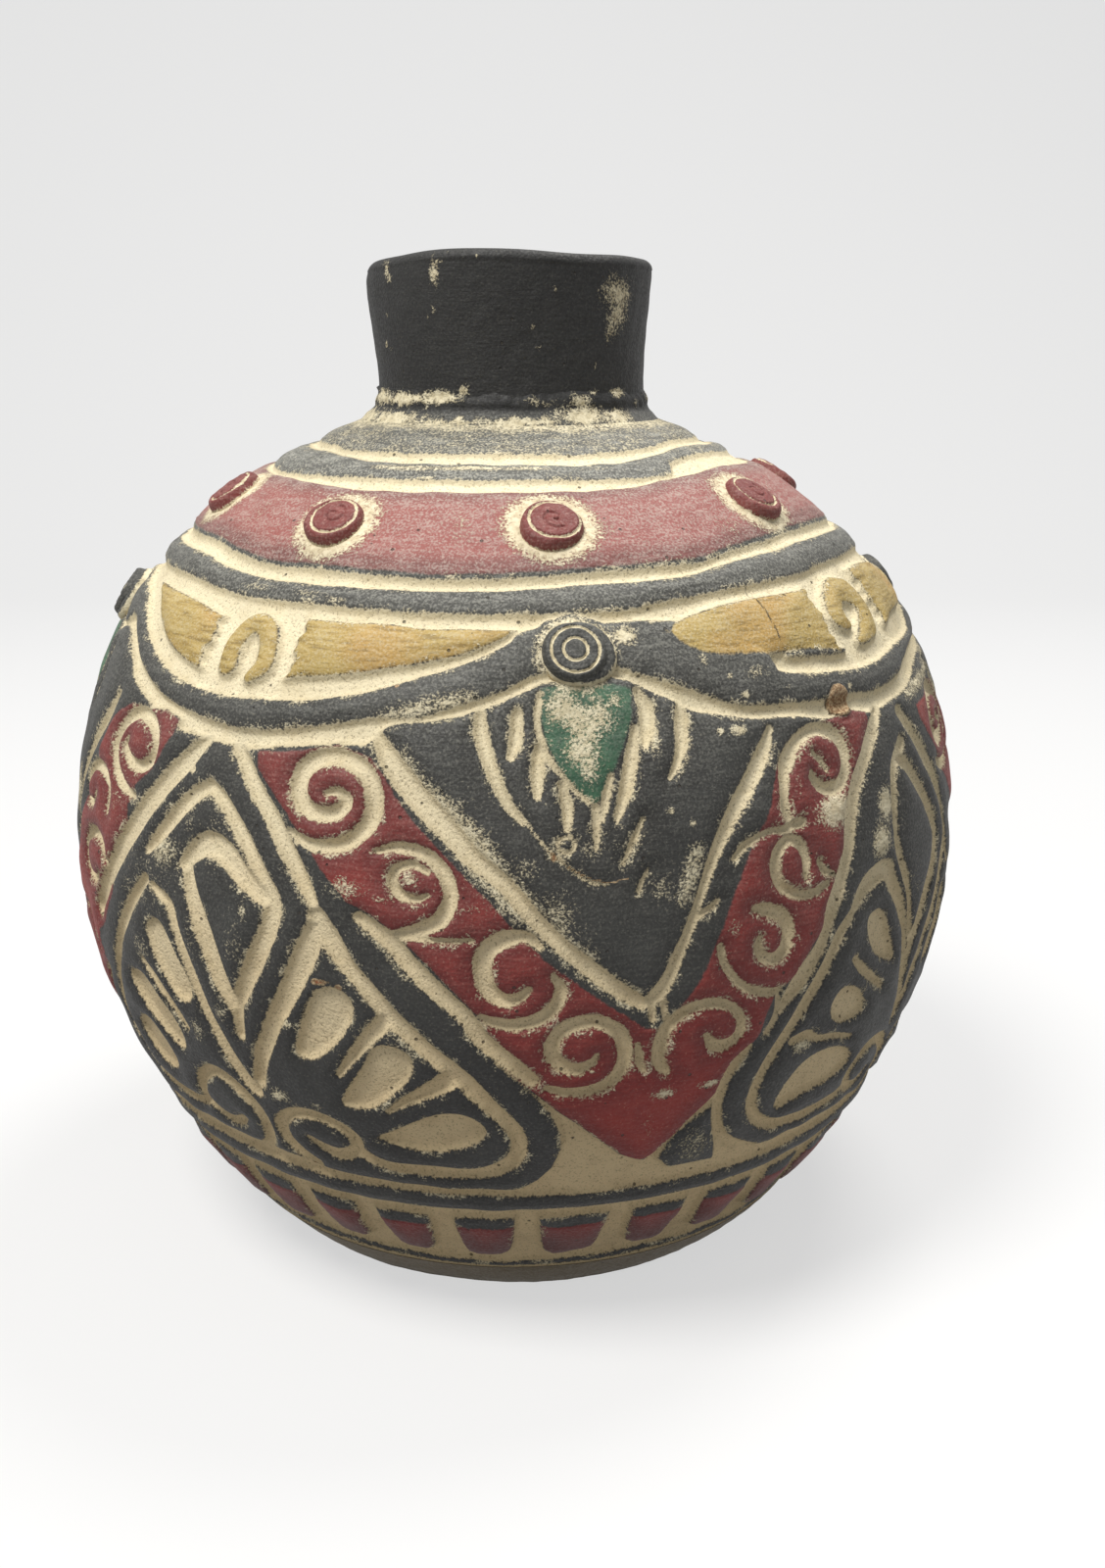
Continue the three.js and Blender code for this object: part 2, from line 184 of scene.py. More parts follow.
# Right-hand swag, where it differs from the left one
RIGHT_SWAG_EDGES = {
    "ochre_top": [(20, 160.4), (22, 162), (25, 163.7), (30, 165.1), (35, 165.9), (40, 166.2),
        (46, 166.4), (50, 167.4), (56, 168.4), (62, 168), (70, 168), (78, 166.6), (86, 164)],
    "ochre_bottom": [(20, 160.4), (22, 158.4), (25, 155.9), (30, 155), (35, 154.4), (40, 154.2),
        (45, 153.2), (50, 151.4), (54, 151.2), (58, 152.6), (62, 153.7), (65, 154.4), (70, 155.6)],
    "swag_top": [(20, 163), (30, 160), (34.4, 154.4), (34.9, 151), (40, 149.1), (45, 148.4),
        (50, 147.8), (55, 148), (60, 148.9), (66, 149.6)],
    "swag_bottom": [(13, 155), (15, 153.4), (17, 152.4), (20, 150.5), (22, 149.4), (25, 147.3),
        (28, 145.5), (30, 145), (35, 144.5), (40, 143.9), (46, 143.7), (50, 143), (55, 143.2),
        (60, 144.2), (65, 146.2), (70, 147.6)],
    "field_top": [(11.5, 152.6), (13, 152), (15, 151.2), (17, 149.4), (20, 146.9), (22, 145.1),
        (25, 144), (30, 142.3), (35, 141.7), (40, 140.1), (45, 139.4), (50, 139), (55, 139.6),
        (60, 140.4), (65, 142), (70, 144)],
}

# Carved strokes: (azimuth, distance, width in mm) along the middle of the cut.
# Those of the chevron under a medallion:
CHEVRON_STROKES = {
    "inner_left": [(-14.2, 141.5, 2.4), (-12.2, 136.5, 4.2), (-9, 130.5, 4.6), (-5.8, 125, 4.2),
        (-3, 120, 3.6), (0, 115.8, 3.2), (2.8, 110, 3.2), (5.4, 105, 3), (8.6, 100, 3.4),
        (11.8, 95.3, 3.2), (14.4, 92.2, 2.6)],
    "inner_right": [(31.6, 140.2, 1.6), (30.2, 136.4, 3.2), (27.8, 131.4, 3.6), (25.4, 126.6, 3.4),
        (23.4, 121.6, 2.8), (21.8, 116.4, 2.2), (20.6, 111, 1.9), (19.4, 105.6, 2.1),
        (18.2, 101, 2.4), (17.2, 97, 2.8), (15.8, 93.4, 3.4)],
    "inner_right_spur": [(20.6, 108, 1.6), (22, 109.4, 1.4), (22.6, 110.4, 0.8)],
    "inner_tip": [(15.2, 93.5, 1.8), (15.5, 88.6, 1.4)],
    "inner_tip_drip": [(16.6, 92, 1.6), (17, 88.6, 1.2)],
    "outer_left": [(-15.2, 108.6, 2.6), (-12.1, 105, 3.6), (-9.8, 100.4, 3.6), (-7, 95.4, 3.6),
        (-4.1, 90.4, 3.4), (-2.5, 86, 3.4), (0.6, 81, 3.2), (2.8, 77, 2.8)],
    "outer_right": [(50.6, 139, 2.6), (48.2, 135, 4), (45.3, 130, 3.8), (43, 125, 3.8),
        (41.8, 120, 3.6), (41.2, 115, 3.2), (39.9, 110, 3.6), (38.5, 105, 4), (37.6, 100.5, 3),
        (36.3, 96.4, 3.2), (34.2, 92, 4), (32.4, 88, 3), (31.4, 85.6, 1.4)],
    "outer_right_chip": [(30.8, 89.6, 1), (30.9, 85, 1.6), (29.9, 81.2, 1.4)],
    "outer_right_foot": [(27.8, 79, 1.4), (26, 75.6, 2.4), (24.9, 71, 2.2), (24.9, 66, 2.2),
        (25.8, 60, 2.4), (27.4, 55.6, 3), (30, 52, 3.6), (33, 50, 2.4)],
    "spiral_1": [(-23.6, 122.8, 1.6), (-20.5, 120.9, 2.6), (-17, 121.8, 3), (-14.4, 125.6, 3.4),
        (-13.9, 130.5, 3.6), (-15.3, 135, 3.6), (-18.6, 137.2, 3.4), (-21.8, 135.3, 3.8),
        (-22.8, 131.5, 3.8), (-22, 128, 3.6), (-20, 126.6, 3.2), (-17.9, 127.4, 3.2),
        (-17.1, 129.6, 2.8), (-18.2, 130.9, 2), (-19.4, 130.4, 1.2)],
    "spiral_2": [(-13.4, 121, 1.2), (-11, 121.9, 2.2), (-8.2, 120.8, 2.6), (-6.2, 117.6, 2.8),
        (-5.5, 113.6, 2.8), (-6.4, 109.6, 3.2), (-8.6, 107.2, 3), (-11.6, 106, 1.6)],
    "spiral_2_eye": [(-7.9, 117.6, 1.2), (-9.5, 119, 1.8), (-11.2, 118, 2), (-11.6, 115.5, 2.2),
        (-10.6, 113.2, 2.2), (-8.9, 112.8, 1.6), (-7.9, 113.6, 1)],
    "spiral_2_tail": [(-11.2, 105.7, 1.4), (-7, 105.4, 1.2), (-3.4, 105.6, 1)],
    "spiral_3": [(3.6, 104.2, 1.4), (2.2, 106.2, 2.4), (0, 106, 3.4), (-1.9, 103.6, 3.6),
        (-2.3, 100, 3.6), (-1.8, 96.4, 3.4), (-0.3, 94.2, 3), (1.3, 94.6, 2.4), (2.4, 96.4, 1.4)],
    "spiral_3_arc": [(4.9, 99, 1.2), (5.7, 96, 2.4), (5, 92.6, 2.8), (3.2, 90.2, 2.8),
        (0.6, 89.2, 2.8), (-1.6, 90, 2.2), (-2.6, 91, 1.2)],
    "spiral_4": [(4.4, 75.2, 1.6), (7.4, 74.3, 2.2), (10.4, 75, 2.6), (12.2, 78, 2.8),
        (12.7, 82.4, 3), (12, 86.6, 3), (9.8, 89.3, 2.8), (7, 89, 3), (5.2, 86.4, 3), (4.8, 83, 3),
        (5.8, 80.5, 3), (7.6, 79.4, 2.6), (9.2, 80.8, 1.8), (9.6, 82.4, 1)],
    "spiral_5": [(17.6, 77, 1.4), (16.6, 79.5, 2.8), (16.5, 83.5, 3), (17.4, 87.2, 2.8),
        (19.4, 89.8, 2.4), (22, 90.6, 2.2), (24.6, 89, 2), (26, 86, 2), (25.9, 82.8, 2.4),
        (24.4, 80.9, 2.8), (22.8, 81.6, 2.6), (21.8, 84, 1.2)],
    "spiral_5_drip": [(14, 84, 1.2), (14.4, 80, 1.8), (15, 78, 1)],
    "spiral_6": [(27.2, 107.6, 1.6), (28.8, 106.8, 2.8), (30.8, 105, 3), (31.6, 102, 3),
        (31.2, 98.8, 3), (29.8, 97, 2.8), (28.2, 98, 2.4), (27.6, 100.4, 1.8), (27.8, 102, 1)],
    "spiral_6_arc": [(23, 101.5, 1.4), (23.3, 99, 1.6), (24.4, 95.6, 1.6), (26.2, 92.4, 1.8),
        (29, 90.4, 2), (31, 90, 1.4)],
    "spiral_7": [(34.2, 111.4, 1.4), (34.3, 115, 2.2), (33.4, 118.3, 2.4), (31.8, 119.2, 2.2),
        (30.3, 117.2, 2.4), (30, 113.8, 2.6), (30.8, 110.6, 2.4), (32.8, 108.6, 2.2),
        (35.2, 108, 2), (37.4, 109.4, 1.2)],
    "spiral_7_dash": [(36.2, 114, 1.4), (37, 111.6, 1.6), (38.4, 110.6, 1.2)],
    "spiral_7_over": [(24.8, 117.6, 1.2), (26, 119.4, 1.8), (27.8, 120.8, 1.4), (29.8, 121.6, 1.2),
        (31.4, 121.2, 1.6), (34, 122, 2.4)],
    "spiral_8": [(32.4, 122.4, 1.4), (31.9, 125.4, 2.2), (32.2, 129.5, 2.4), (33, 133.4, 3.6),
        (35, 137, 2.8), (38, 138.6, 2.8), (41, 137, 3), (42.2, 133, 3), (41.8, 129.4, 3),
        (40.2, 127, 2.8), (38, 127.4, 2.6), (36.6, 129.6, 2), (36.4, 131, 1)],
    "spiral_8_hook": [(37, 134.6, 1), (38.2, 132.4, 1.4), (38.9, 130.6, 1.2)],
    "leaf_left": [(-2.8, 146, 2.2), (-2.6, 142.6, 3), (-1.8, 138, 2.8), (-0.7, 133.4, 2.4),
        (0.6, 129.4, 2), (2, 126.6, 1.2)],
    "leaf_edge": [(0.9, 130, 0.6), (2.6, 126, 0.6), (4.4, 122, 0.7), (6.4, 119, 0.6),
        (8.6, 116, 0.7), (10.6, 115.3, 0.4)],
    "slash_1": [(1.4, 146, 2.4), (1.2, 141.5, 2.8), (0.7, 138.4, 1.8)],
    "slash_2": [(3.7, 139.6, 2.2), (3.5, 135, 2.8), (3.5, 131.4, 1.8)],
    "slash_3": [(6.1, 133.4, 1.8), (6.6, 129, 2.4), (6.5, 125.4, 1.4)],
    "slash_4": [(9.6, 129, 1.8), (9.6, 125.4, 1.6), (9.5, 121.6, 0.9)],
    "slash_5": [(11.4, 134.6, 1.2), (10.7, 130.4, 1.8), (10.2, 126.8, 1)],
    "slash_6": [(14.6, 143, 1.4), (14, 138.6, 2.6), (13.2, 133.4, 2.8), (12.2, 128.4, 2),
        (11.8, 126.4, 1)],
    "slash_7": [(20.4, 147.6, 1.4), (20.2, 143.4, 3), (19.8, 139, 2.6), (18.9, 135.6, 1.8),
        (18, 133.4, 1)],
    "slash_8": [(14.6, 126.6, 0.9), (13.4, 122.6, 1.2), (12.2, 118.6, 0.7)],
    "slash_9": [(14.9, 117.6, 0.6), (13.8, 113.6, 1)],
    "slash_10": [(15.4, 149.6, 1.8), (16.2, 146, 3.2), (15.9, 142, 3), (15.6, 139.6, 1.6)],
    "drop_left": [(4, 149.6, 1.2), (3.6, 145, 1.4), (4.1, 140.6, 1.4), (5.4, 136.4, 1.2),
        (7.4, 132.4, 1), (9, 129.8, 0.8)],
    "chip_ring": [(5.6, 123.6, 0.8), (6.9, 124, 0.8), (7.2, 122.2, 0.8), (6.4, 121.2, 0.8),
        (5.5, 122, 0.8), (5.6, 123.6, 0.8)],
}

# Those of the panel between two chevrons, right of its point
PANEL_RIGHT_STROKES = {
    "tent": [(-31.8, 137, 3), (-30.4, 134, 3.4), (-28.4, 129.6, 3.6), (-26, 125, 3.8),
        (-23.4, 118.6, 3.6), (-21.4, 113.4, 3), (-20.4, 110.4, 2.4)],
    "border": [(-20, 108, 4), (-18.4, 103.6, 4.6), (-16.8, 99.4, 3.6), (-15.2, 96.2, 3.4),
        (-13.8, 93.2, 3.6), (-12.5, 90.2, 3.8), (-11, 87.6, 3.6), (-9.6, 85, 3.4),
        (-7.9, 82.2, 3.4), (-6.3, 79.8, 3.8), (-4.2, 76, 3.8), (-1.8, 70.8, 3.4), (0.3, 66.2, 3.2),
        (1.3, 62, 3.2), (1.1, 58.4, 3.4), (0, 55.4, 3.6), (-2, 53.2, 3.6), (-5, 52.2, 3.2),
        (-10, 52.2, 3.4), (-14, 52.4, 3), (-16.6, 53.4, 2.8), (-18.4, 55.6, 2.8)],
    "kite": [(-35, 128.6, 3), (-33, 126.5, 3.2), (-30.8, 122.5, 3.4), (-28.6, 118, 3.4),
        (-26.5, 113, 3.6), (-25.3, 109, 4), (-25.9, 104, 4.2), (-27.3, 99, 4.2), (-28.8, 94, 4),
        (-30, 90, 3.6), (-31, 87, 3), (-31.4, 80, 2.4)],
    "divider": [(-20.2, 105.4, 4.2), (-21.3, 101, 5), (-22.5, 96.5, 4.8), (-23.7, 92.5, 4.4),
        (-24.7, 89.4, 4.2), (-26, 86, 3.8), (-27, 82.6, 3.8), (-28.3, 78.4, 3.8), (-29.2, 75, 3.4),
        (-30.2, 69.6, 3)],
    "rib_1": [(-18.9, 75.6, 1.2), (-17.5, 79, 2.2), (-16, 82.4, 2.8), (-14.5, 85.6, 3.4),
        (-12.8, 88.8, 3.8)],
    "rib_2": [(-13.5, 68.2, 1.2), (-11.9, 70.4, 2), (-10.4, 72, 2.6), (-8.3, 74.4, 3.6),
        (-6, 77.2, 4.4)],
    "spiral": [(-25.5, 49, 2.4), (-27.6, 51.5, 3), (-28.9, 55.5, 3.2), (-28.6, 60, 3.2),
        (-26.4, 63.4, 3), (-23.4, 64, 2.8), (-20.4, 62.6, 2.8), (-18.7, 59.8, 2.8),
        (-18.8, 56.2, 3), (-21, 54, 3.6), (-23.4, 55, 3), (-25, 57.2, 1.6)],
}
PANEL_RIGHT_PETALS = [
    [(-20.6, 93.4), (-19, 94.6), (-17.3, 94), (-16.3, 91.4), (-16.5, 88.8), (-17.3, 85.8),
     (-18.4, 83), (-20.2, 80), (-21.9, 78), (-23.6, 78.4), (-23.8, 80.7), (-23.2, 83.6),
     (-22.6, 87), (-21.8, 90.2)],
    [(-13.5, 83.6), (-11.8, 83.2), (-10.4, 81.6), (-10.1, 79.2), (-10.7, 76.2), (-12.1, 73.2),
     (-13.8, 70.5), (-15.4, 68.4), (-17.2, 67.9), (-19, 68.4), (-18.8, 70.4), (-18, 73),
     (-16.8, 76), (-15.7, 79), (-14.8, 82.2)],
    [(-15.6, 60.6), (-13.5, 63), (-10.6, 66.2), (-7.6, 68.6), (-5, 68.8), (-3, 66.6), (-2.5, 64),
     (-3.4, 61.4), (-5.8, 59.2), (-9, 58), (-12.4, 58.6)],
]
# Left of its point, as on the left-hand panel
PANEL_LEFT_STROKES = {
    "tent": [(-36.6, 137, 2.6), (-38.6, 133.6, 4), (-41.6, 128.6, 4.4), (-44.6, 123.4, 4.6),
        (-47.6, 117.6, 4.8), (-50.4, 112, 4.8), (-53.4, 106, 4.8), (-56.4, 100, 4.6),
        (-59, 94.4, 4)],
    "tent_curl": [(-38.2, 131, 1.6), (-39, 132.6, 1.4), (-40.6, 131.8, 1.2)],
    "kite": [(-35, 128.6, 3), (-37.5, 126, 3.4), (-40.2, 121.5, 3.4), (-43, 116.5, 3),
        (-45, 113, 2)],
    "leaf": [(-38.4, 112.4, 3.2), (-36.8, 115.4, 4.2), (-34.6, 117.6, 5.2), (-32, 116.6, 5.2),
        (-30, 113.8, 4.6), (-28, 111.4, 4), (-26.2, 109.5, 3.2)],
    "leaf_side": [(-37.8, 112, 3.2), (-37, 107.5, 4.2), (-35.6, 102, 4.6), (-34.3, 97, 4.6),
        (-32.9, 91.5, 4.2), (-31.5, 86.6, 3.2)],
    "divider": [(-44, 106, 2.2), (-41.2, 103.6, 2.6), (-39.9, 99, 2.8), (-38.6, 93.5, 2.8),
        (-37.1, 87, 2.8), (-35.6, 80.5, 2.8), (-34, 74.6, 3), (-32.4, 69.4, 3.4),
        (-31.2, 67, 3.6)],
    "rib": [(-47.5, 89, 1.6), (-45.4, 86, 2.2), (-43, 81.5, 2.2), (-40.9, 77, 1.6)],
    "border": [(-45.4, 107, 2.4), (-48.4, 101.6, 3), (-51, 96, 3.2), (-53.4, 90.4, 3.2),
        (-55.6, 84.6, 3.2), (-57.6, 78.4, 3), (-59, 72, 3), (-58.8, 66, 3), (-57, 60.5, 3),
        (-53.6, 56.6, 3), (-49, 55.6, 3), (-45, 55.8, 2.8), (-42.4, 57.4, 2.6)],
    "spiral": [(-34, 49.4, 2.4), (-32.6, 52, 3), (-31.8, 57, 3.2), (-32.4, 62, 3.4),
        (-34.6, 66, 3.4), (-38, 68, 3.2), (-41, 65, 3), (-42.3, 61, 2.8), (-41.8, 57.6, 2.8),
        (-39.6, 54.8, 3.2), (-37.4, 54.6, 3), (-35.7, 56.8, 1.8)],
}
PANEL_LEFT_PETALS = [
    [(-44.2, 99.6), (-42.5, 98.8), (-40.4, 94), (-38.6, 89), (-38.4, 85.4), (-39.6, 83.4),
     (-41.6, 84.2), (-43.4, 87.6), (-45, 92), (-45.8, 96.8)],
    [(-49, 85.6), (-46.6, 84), (-44, 79.4), (-42.4, 74.6), (-42.6, 71), (-44.6, 71), (-47.4, 74),
     (-50.4, 78), (-52, 81.8), (-51.6, 84.6)],
    [(-52, 73.6), (-49.6, 73.6), (-47, 70), (-46.2, 66), (-47.6, 62.6), (-50.4, 62.6),
     (-53.4, 65.6), (-54.6, 69.6)],
]
# And as on the right-hand panel
PANEL_LEFT_ALT_STROKES = {
    "kite": [(54.6, 131, 3.4), (51.6, 126.6, 3), (50.8, 121, 2.4), (50.6, 116, 2.2),
        (51, 111, 2.4), (52.4, 106, 2.4), (54, 100, 2.4), (55.6, 93, 2.4), (57, 86, 2.4)],
    "arch": [(42, 102.6, 2.4), (43.4, 105.2, 3.4), (45.4, 107, 4.4), (48.3, 107.6, 4.4),
        (50, 103.6, 3.8), (52.2, 98, 3.2), (54.2, 92, 2.6), (55.6, 84, 2.4), (56.8, 76, 2.6),
        (57.6, 69, 3)],
    "border": [(42.4, 103.4, 1.6), (40, 98.6, 2.6), (37.8, 93, 3), (35.8, 87.5, 3),
        (33.6, 81.5, 2.8), (31.2, 75, 2.6), (29.8, 69, 2.4), (30, 63.5, 2.6), (31.8, 59, 2.8),
        (34.8, 55.8, 3), (38.6, 54.6, 3), (43, 54.4, 3), (47, 54.8, 3), (49, 57, 2.6)],
    "rib_1": [(42.8, 91.4, 1.6), (44.6, 88.4, 2.2), (47.4, 84.8, 2), (50, 81.6, 1.4)],
    "rib_2": [(34.2, 77.2, 2), (36.4, 77.6, 2.4), (38.4, 75.6, 1.8), (41.4, 74.6, 1.6),
        (45, 72.6, 1.2)],
    "spiral": [(56, 49.4, 2.4), (57.6, 52, 3), (58.2, 57, 3.2), (57.4, 62, 3.2), (55, 65.6, 3.2),
        (52, 66.4, 3), (49.4, 63.6, 2.8), (48.8, 60, 2.8), (49.6, 56.6, 2.8), (51.6, 54.8, 3),
        (53.6, 55.4, 2.8), (54.8, 57.4, 1.6)],
}
PANEL_LEFT_ALT_PETALS = [
    [(45, 99.6), (47, 100), (48.6, 97.6), (50, 93.6), (51.4, 89.6), (51.8, 86.6), (50, 87.4),
     (47.6, 89.6), (45.8, 92.6), (44.8, 96.4)],
    [(41, 85.6), (43.6, 85), (46, 81.6), (46.4, 78), (43.6, 77), (40.8, 78.6), (39.8, 82.4)],
    [(35, 67), (37, 70.4), (40, 71.8), (43.4, 71), (46.4, 68), (46.6, 64.4), (44, 62.4),
     (40.4, 61.6), (37, 61), (35, 60), (34, 61.4), (34.2, 64.2)],
]
# The neighbouring chevron's curls at the photograph's left edge
LEFT_NEIGHBOUR_SPIRALS = {
    "spiral_8": [(-48.6, 122.2, 1.4), (-51.8, 123.4, 2.6), (-54.4, 126.6, 3.2), (-55.2, 131, 3.2),
        (-54, 135.6, 3.2), (-51.2, 138.4, 3), (-47.8, 137.8, 3), (-45.8, 134.4, 2.8),
        (-46, 130.8, 2.8), (-48, 128.4, 2.8), (-50.6, 128.6, 2.8), (-52.4, 130.8, 2.2),
        (-52.2, 132.8, 1.2)],
    "spiral_7": [(-55.4, 117, 1.6), (-55.6, 121, 2.4), (-57.6, 124, 2.6), (-60.5, 124.4, 2.6),
        (-63, 122.6, 2.4), (-64, 119, 2.4), (-62.6, 116, 2.2), (-60.4, 116.6, 1.6),
        (-59.6, 118.8, 1)],
    "spiral_6": [(-55.6, 106, 1.6), (-57, 109.6, 2.4), (-60, 110.4, 2.6), (-62.6, 108, 2.6),
        (-63.4, 104, 2.6), (-62, 100.6, 2.6), (-59.4, 100.4, 2.2), (-58, 102.6, 1.4)],
}

# What those take the place of
NEIGHBOUR_LEFT_OUT = (
    "spiral_6", "spiral_7", "spiral_8", "spiral_6_arc", "spiral_7_dash", "spiral_7_over",
    "spiral_8_hook",
)

# Outlines of painted fields
RED_CHEVRON = [(-28.6, 136.6), (-28.3, 133.6), (-26, 129.6), (-24, 126.4), (-22.2, 122.4),
    (-20.6, 119.4), (-18.6, 115.4), (-16.4, 111.4), (-14, 109.6), (-10.6, 105.2), (-8, 100.8),
    (-5.4, 96), (-3, 91.4), (-1.9, 87.4), (-1.6, 83.4), (0, 79.6), (2.2, 75.6), (4.6, 71.6),
    (8, 66), (11.4, 60.4), (13.6, 56.8), (15.8, 54.4), (17.6, 55.6), (19.8, 60.2), (22.2, 65.4),
    (24.6, 71), (25.3, 75), (27.5, 78.5), (28.8, 82), (29.2, 86), (30.4, 89.5), (33, 92.5),
    (35, 97.6), (36.7, 100.5), (37.2, 105), (38.7, 110), (40.2, 114.5), (40.4, 120), (41.2, 123.5),
    (42.2, 125.5), (44.2, 128.4), (46.2, 132), (47.6, 136), (47.8, 139.4), (45, 140.6),
    (41, 139.8), (36.6, 139.6), (33.8, 137), (31.6, 133.4), (30.4, 129), (29.7, 126),
    (28.8, 123.4), (27.4, 120.4), (26, 116.4), (24.6, 111.4), (23.5, 107), (22.4, 102), (21, 97),
    (19.6, 93.2), (18, 89.8), (16.2, 87), (14.6, 87.4), (12, 91), (9.2, 94.5), (6.4, 98.5),
    (4, 102), (2, 105.6), (0.3, 109), (-1.6, 113), (-4, 117), (-6, 120.5), (-8, 124), (-10, 127.4),
    (-11.6, 130.8), (-13, 134.4), (-14.6, 137.4), (-18.6, 139.4), (-22.4, 137.8), (-25, 137)]
CREAM_FOOT_FIELD = [(-1.6, 84.4), (-1.2, 81), (1.2, 76.8), (3.2, 72.8), (4.9, 68.6), (6, 64),
    (6.2, 59.5), (5.2, 54), (3.6, 50.4), (1.5, 48), (1.5, 45.3), (30, 45.3), (30.5, 50.4),
    (28.4, 53.5), (26.6, 58), (25.7, 63), (25.5, 68), (26, 73), (27.6, 77.4), (25.4, 75.5),
    (24.7, 71.2), (22.2, 65.6), (19.8, 60.4), (18.4, 57), (16.6, 53.8), (13.4, 56.6), (11.3, 60.3),
    (7.9, 65.9), (4.5, 71.5), (2.1, 75.5), (-0.1, 79.5), (-1.5, 84)]
WORN_PATCH = [(19.8, 59.6), (22, 63.8), (24, 66.4), (25, 60), (26, 55), (26.6, 50.6), (24, 49),
    (20.6, 50), (18.6, 54)]
GREEN_DROP = [(4.3, 150.6), (9, 150.9), (14.2, 150.4), (14.4, 147), (13.9, 143), (12.9, 139.5),
    (11.8, 136), (10.7, 132), (9.5, 129.6), (8.2, 131.4), (6.6, 134.5), (5.4, 137.8), (4.4, 142),
    (3.9, 146.5)]
# The black between a medallion and the swag on its right
SWAG_KNOT = [(3, 161), (5, 163.6), (8.5, 165), (12, 163.4), (15, 159.6), (17.4, 161.4), (19, 163),
    (22, 162.8), (23.4, 160.6), (24.6, 158), (28, 156.6), (33.4, 156), (34.6, 154.2), (34.7, 149),
    (30, 145.4), (25, 147.6), (20, 151), (15, 153.9), (11.5, 154.6), (7, 154.6), (4, 154)]
# The shorter one beside the other medallions
SWAG_KNOT_SHORT = [(3, 161), (5, 163.6), (8.5, 165), (12, 163.4), (15, 160.4), (18, 161),
    (20, 160.4), (19, 156), (15, 153.9), (11.5, 154.6), (7, 154.6), (4, 154)]
CURL_LEFT = [(-36.9, 151.8, 4.6), (-37.2, 156, 4.8), (-36.3, 159.4, 4.6), (-34.4, 160.8, 4.2),
    (-32.4, 159.3, 4.2), (-31.3, 156, 4), (-31.1, 152.4, 3.8), (-32.6, 149.8, 2.2)]
CURL_RIGHT = [(56.7, 167.6), (54.8, 167.7), (51.5, 165), (50, 162.4), (49.2, 160.4), (49.3, 158.1),
    (50.8, 156.3), (52.7, 156), (53.3, 157), (53.1, 158.8), (53.5, 160.4), (54.7, 161.8),
    (55.8, 161.5), (57.3, 160.4), (57.2, 158.8), (55.8, 156.9), (54.4, 155.1), (52.8, 153.5),
    (53.6, 152.3), (57.8, 152.9), (59.5, 154), (60.4, 156.2), (60.9, 158.7), (60.9, 161.3),
    (60.5, 164), (59.4, 166.5)]
# Places of the pressed pieces, the chips and the crack. Each boss's azimuth and its
# distance down the slope from the neck
BOSS_PLACES = [(7.5, 39), (52, 34.8), (102, 33.8), (143, 38), (188, 39.5), (232, 38.5), (291, 35),
    (330.3, 39.2)]
BOSS_RADIUS = 5.9
MEDALLION_AZIMUTHS = [8.5, 98.5, 188.5, 278.5]
MEDALLION_DROP = 67.0
MEDALLION_BACK_RADIUS = 6.2
MEDALLION_BUTTON_RADIUS = 5.5
CHIPS = [(-20, 95.4, 2.2, 0.8), (-17.8, 94.6, 1, 1), (5, 120.6, 0.6, 1.2), (-26.4, 47.4, 2, 0.6),
    (-12.6, 150.6, 0.6, 0.5)]
SCRATCH = [(4.4, 121.8, 0.3), (6.2, 119.2, 0.4), (8.4, 116.8, 0.5), (10.4, 115.8, 0.4),
    (12.6, 116.2, 0.3)]
CRACK = [(36, 170.6, 0.2), (36.2, 166, 0.3), (36.7, 161, 0.35), (37, 157, 0.3), (37.2, 154.4, 0.2)]
PEBBLE_OUTLINE = [(41.6, 140.8), (41.4, 143.8), (42.6, 146), (44.4, 145.6), (45.4, 143.6),
    (45.2, 141), (43.4, 139.6)]
# Where powder lies along one side of a cut
DUSTY_STROKES = [
    [(-11.4, 137, 3), (-8, 130, 5), (-4.4, 124, 5.5), (-1.4, 118, 5.5), (1.6, 112, 4.5),
     (5, 106.4, 3), (8.4, 102, 2)],
    [(20.4, 120, 1.6), (19.6, 115.4, 3), (18.6, 111.6, 1.6)],
    [(-30, 139.5, 1.5), (-24, 140.4, 2), (-18, 141, 2), (-10, 146.5, 2), (-4, 148.4, 2)],
    [(6, 148, 2), (8.6, 144, 5), (8.8, 139.6, 3.6), (9.2, 135, 1.6)],
]
SWAG_PERIOD = 90.0
TURN = 360.0
# How far the repeats at the sides and back wander off the design, in mm, and between
# which azimuths that grows
DRIFT = 0.7
DRIFT_STARTS, DRIFT_FULL = 62, 95
# A value well outside every field or cut, in mm inside it
FAR_OUTSIDE = -50.0
ABSENT = -20.0


def smoothstep(low, high, x):
    t = np.clip((x - low) / (high - low), 0, 1)
    return t * t * (3 - 2 * t)


def turned_off(azimuth, middle):
    """Degrees from one azimuth to another, the short way round."""
    return (azimuth - middle + 180) % TURN - 180


def smooth_line(points, steps=4):
    """A Catmull-Rom curve through the points, with their widths carried along."""
    p = np.array(points, float)
    p = np.vstack([2 * p[0] - p[1], p, 2 * p[-1] - p[-2]])
    rows = []
    for i in range(1, len(p) - 2):
        for t in np.arange(steps) / steps:
            bent = (2 * p[i - 1] - 5 * p[i] + 4 * p[i + 1] - p[i + 2]) * t * t
            turned = (3 * p[i] - p[i - 1] - 3 * p[i + 1] + p[i + 2]) * t**3
            rows.append(0.5 * (2 * p[i] + (p[i + 1] - p[i - 1]) * t + bent + turned))
    rows.append(p[-2])
    rows = np.array(rows)
    if rows.shape[1] > 2:
        rows[:, 2] = np.maximum(rows[:, 2], 0.2)
    return rows


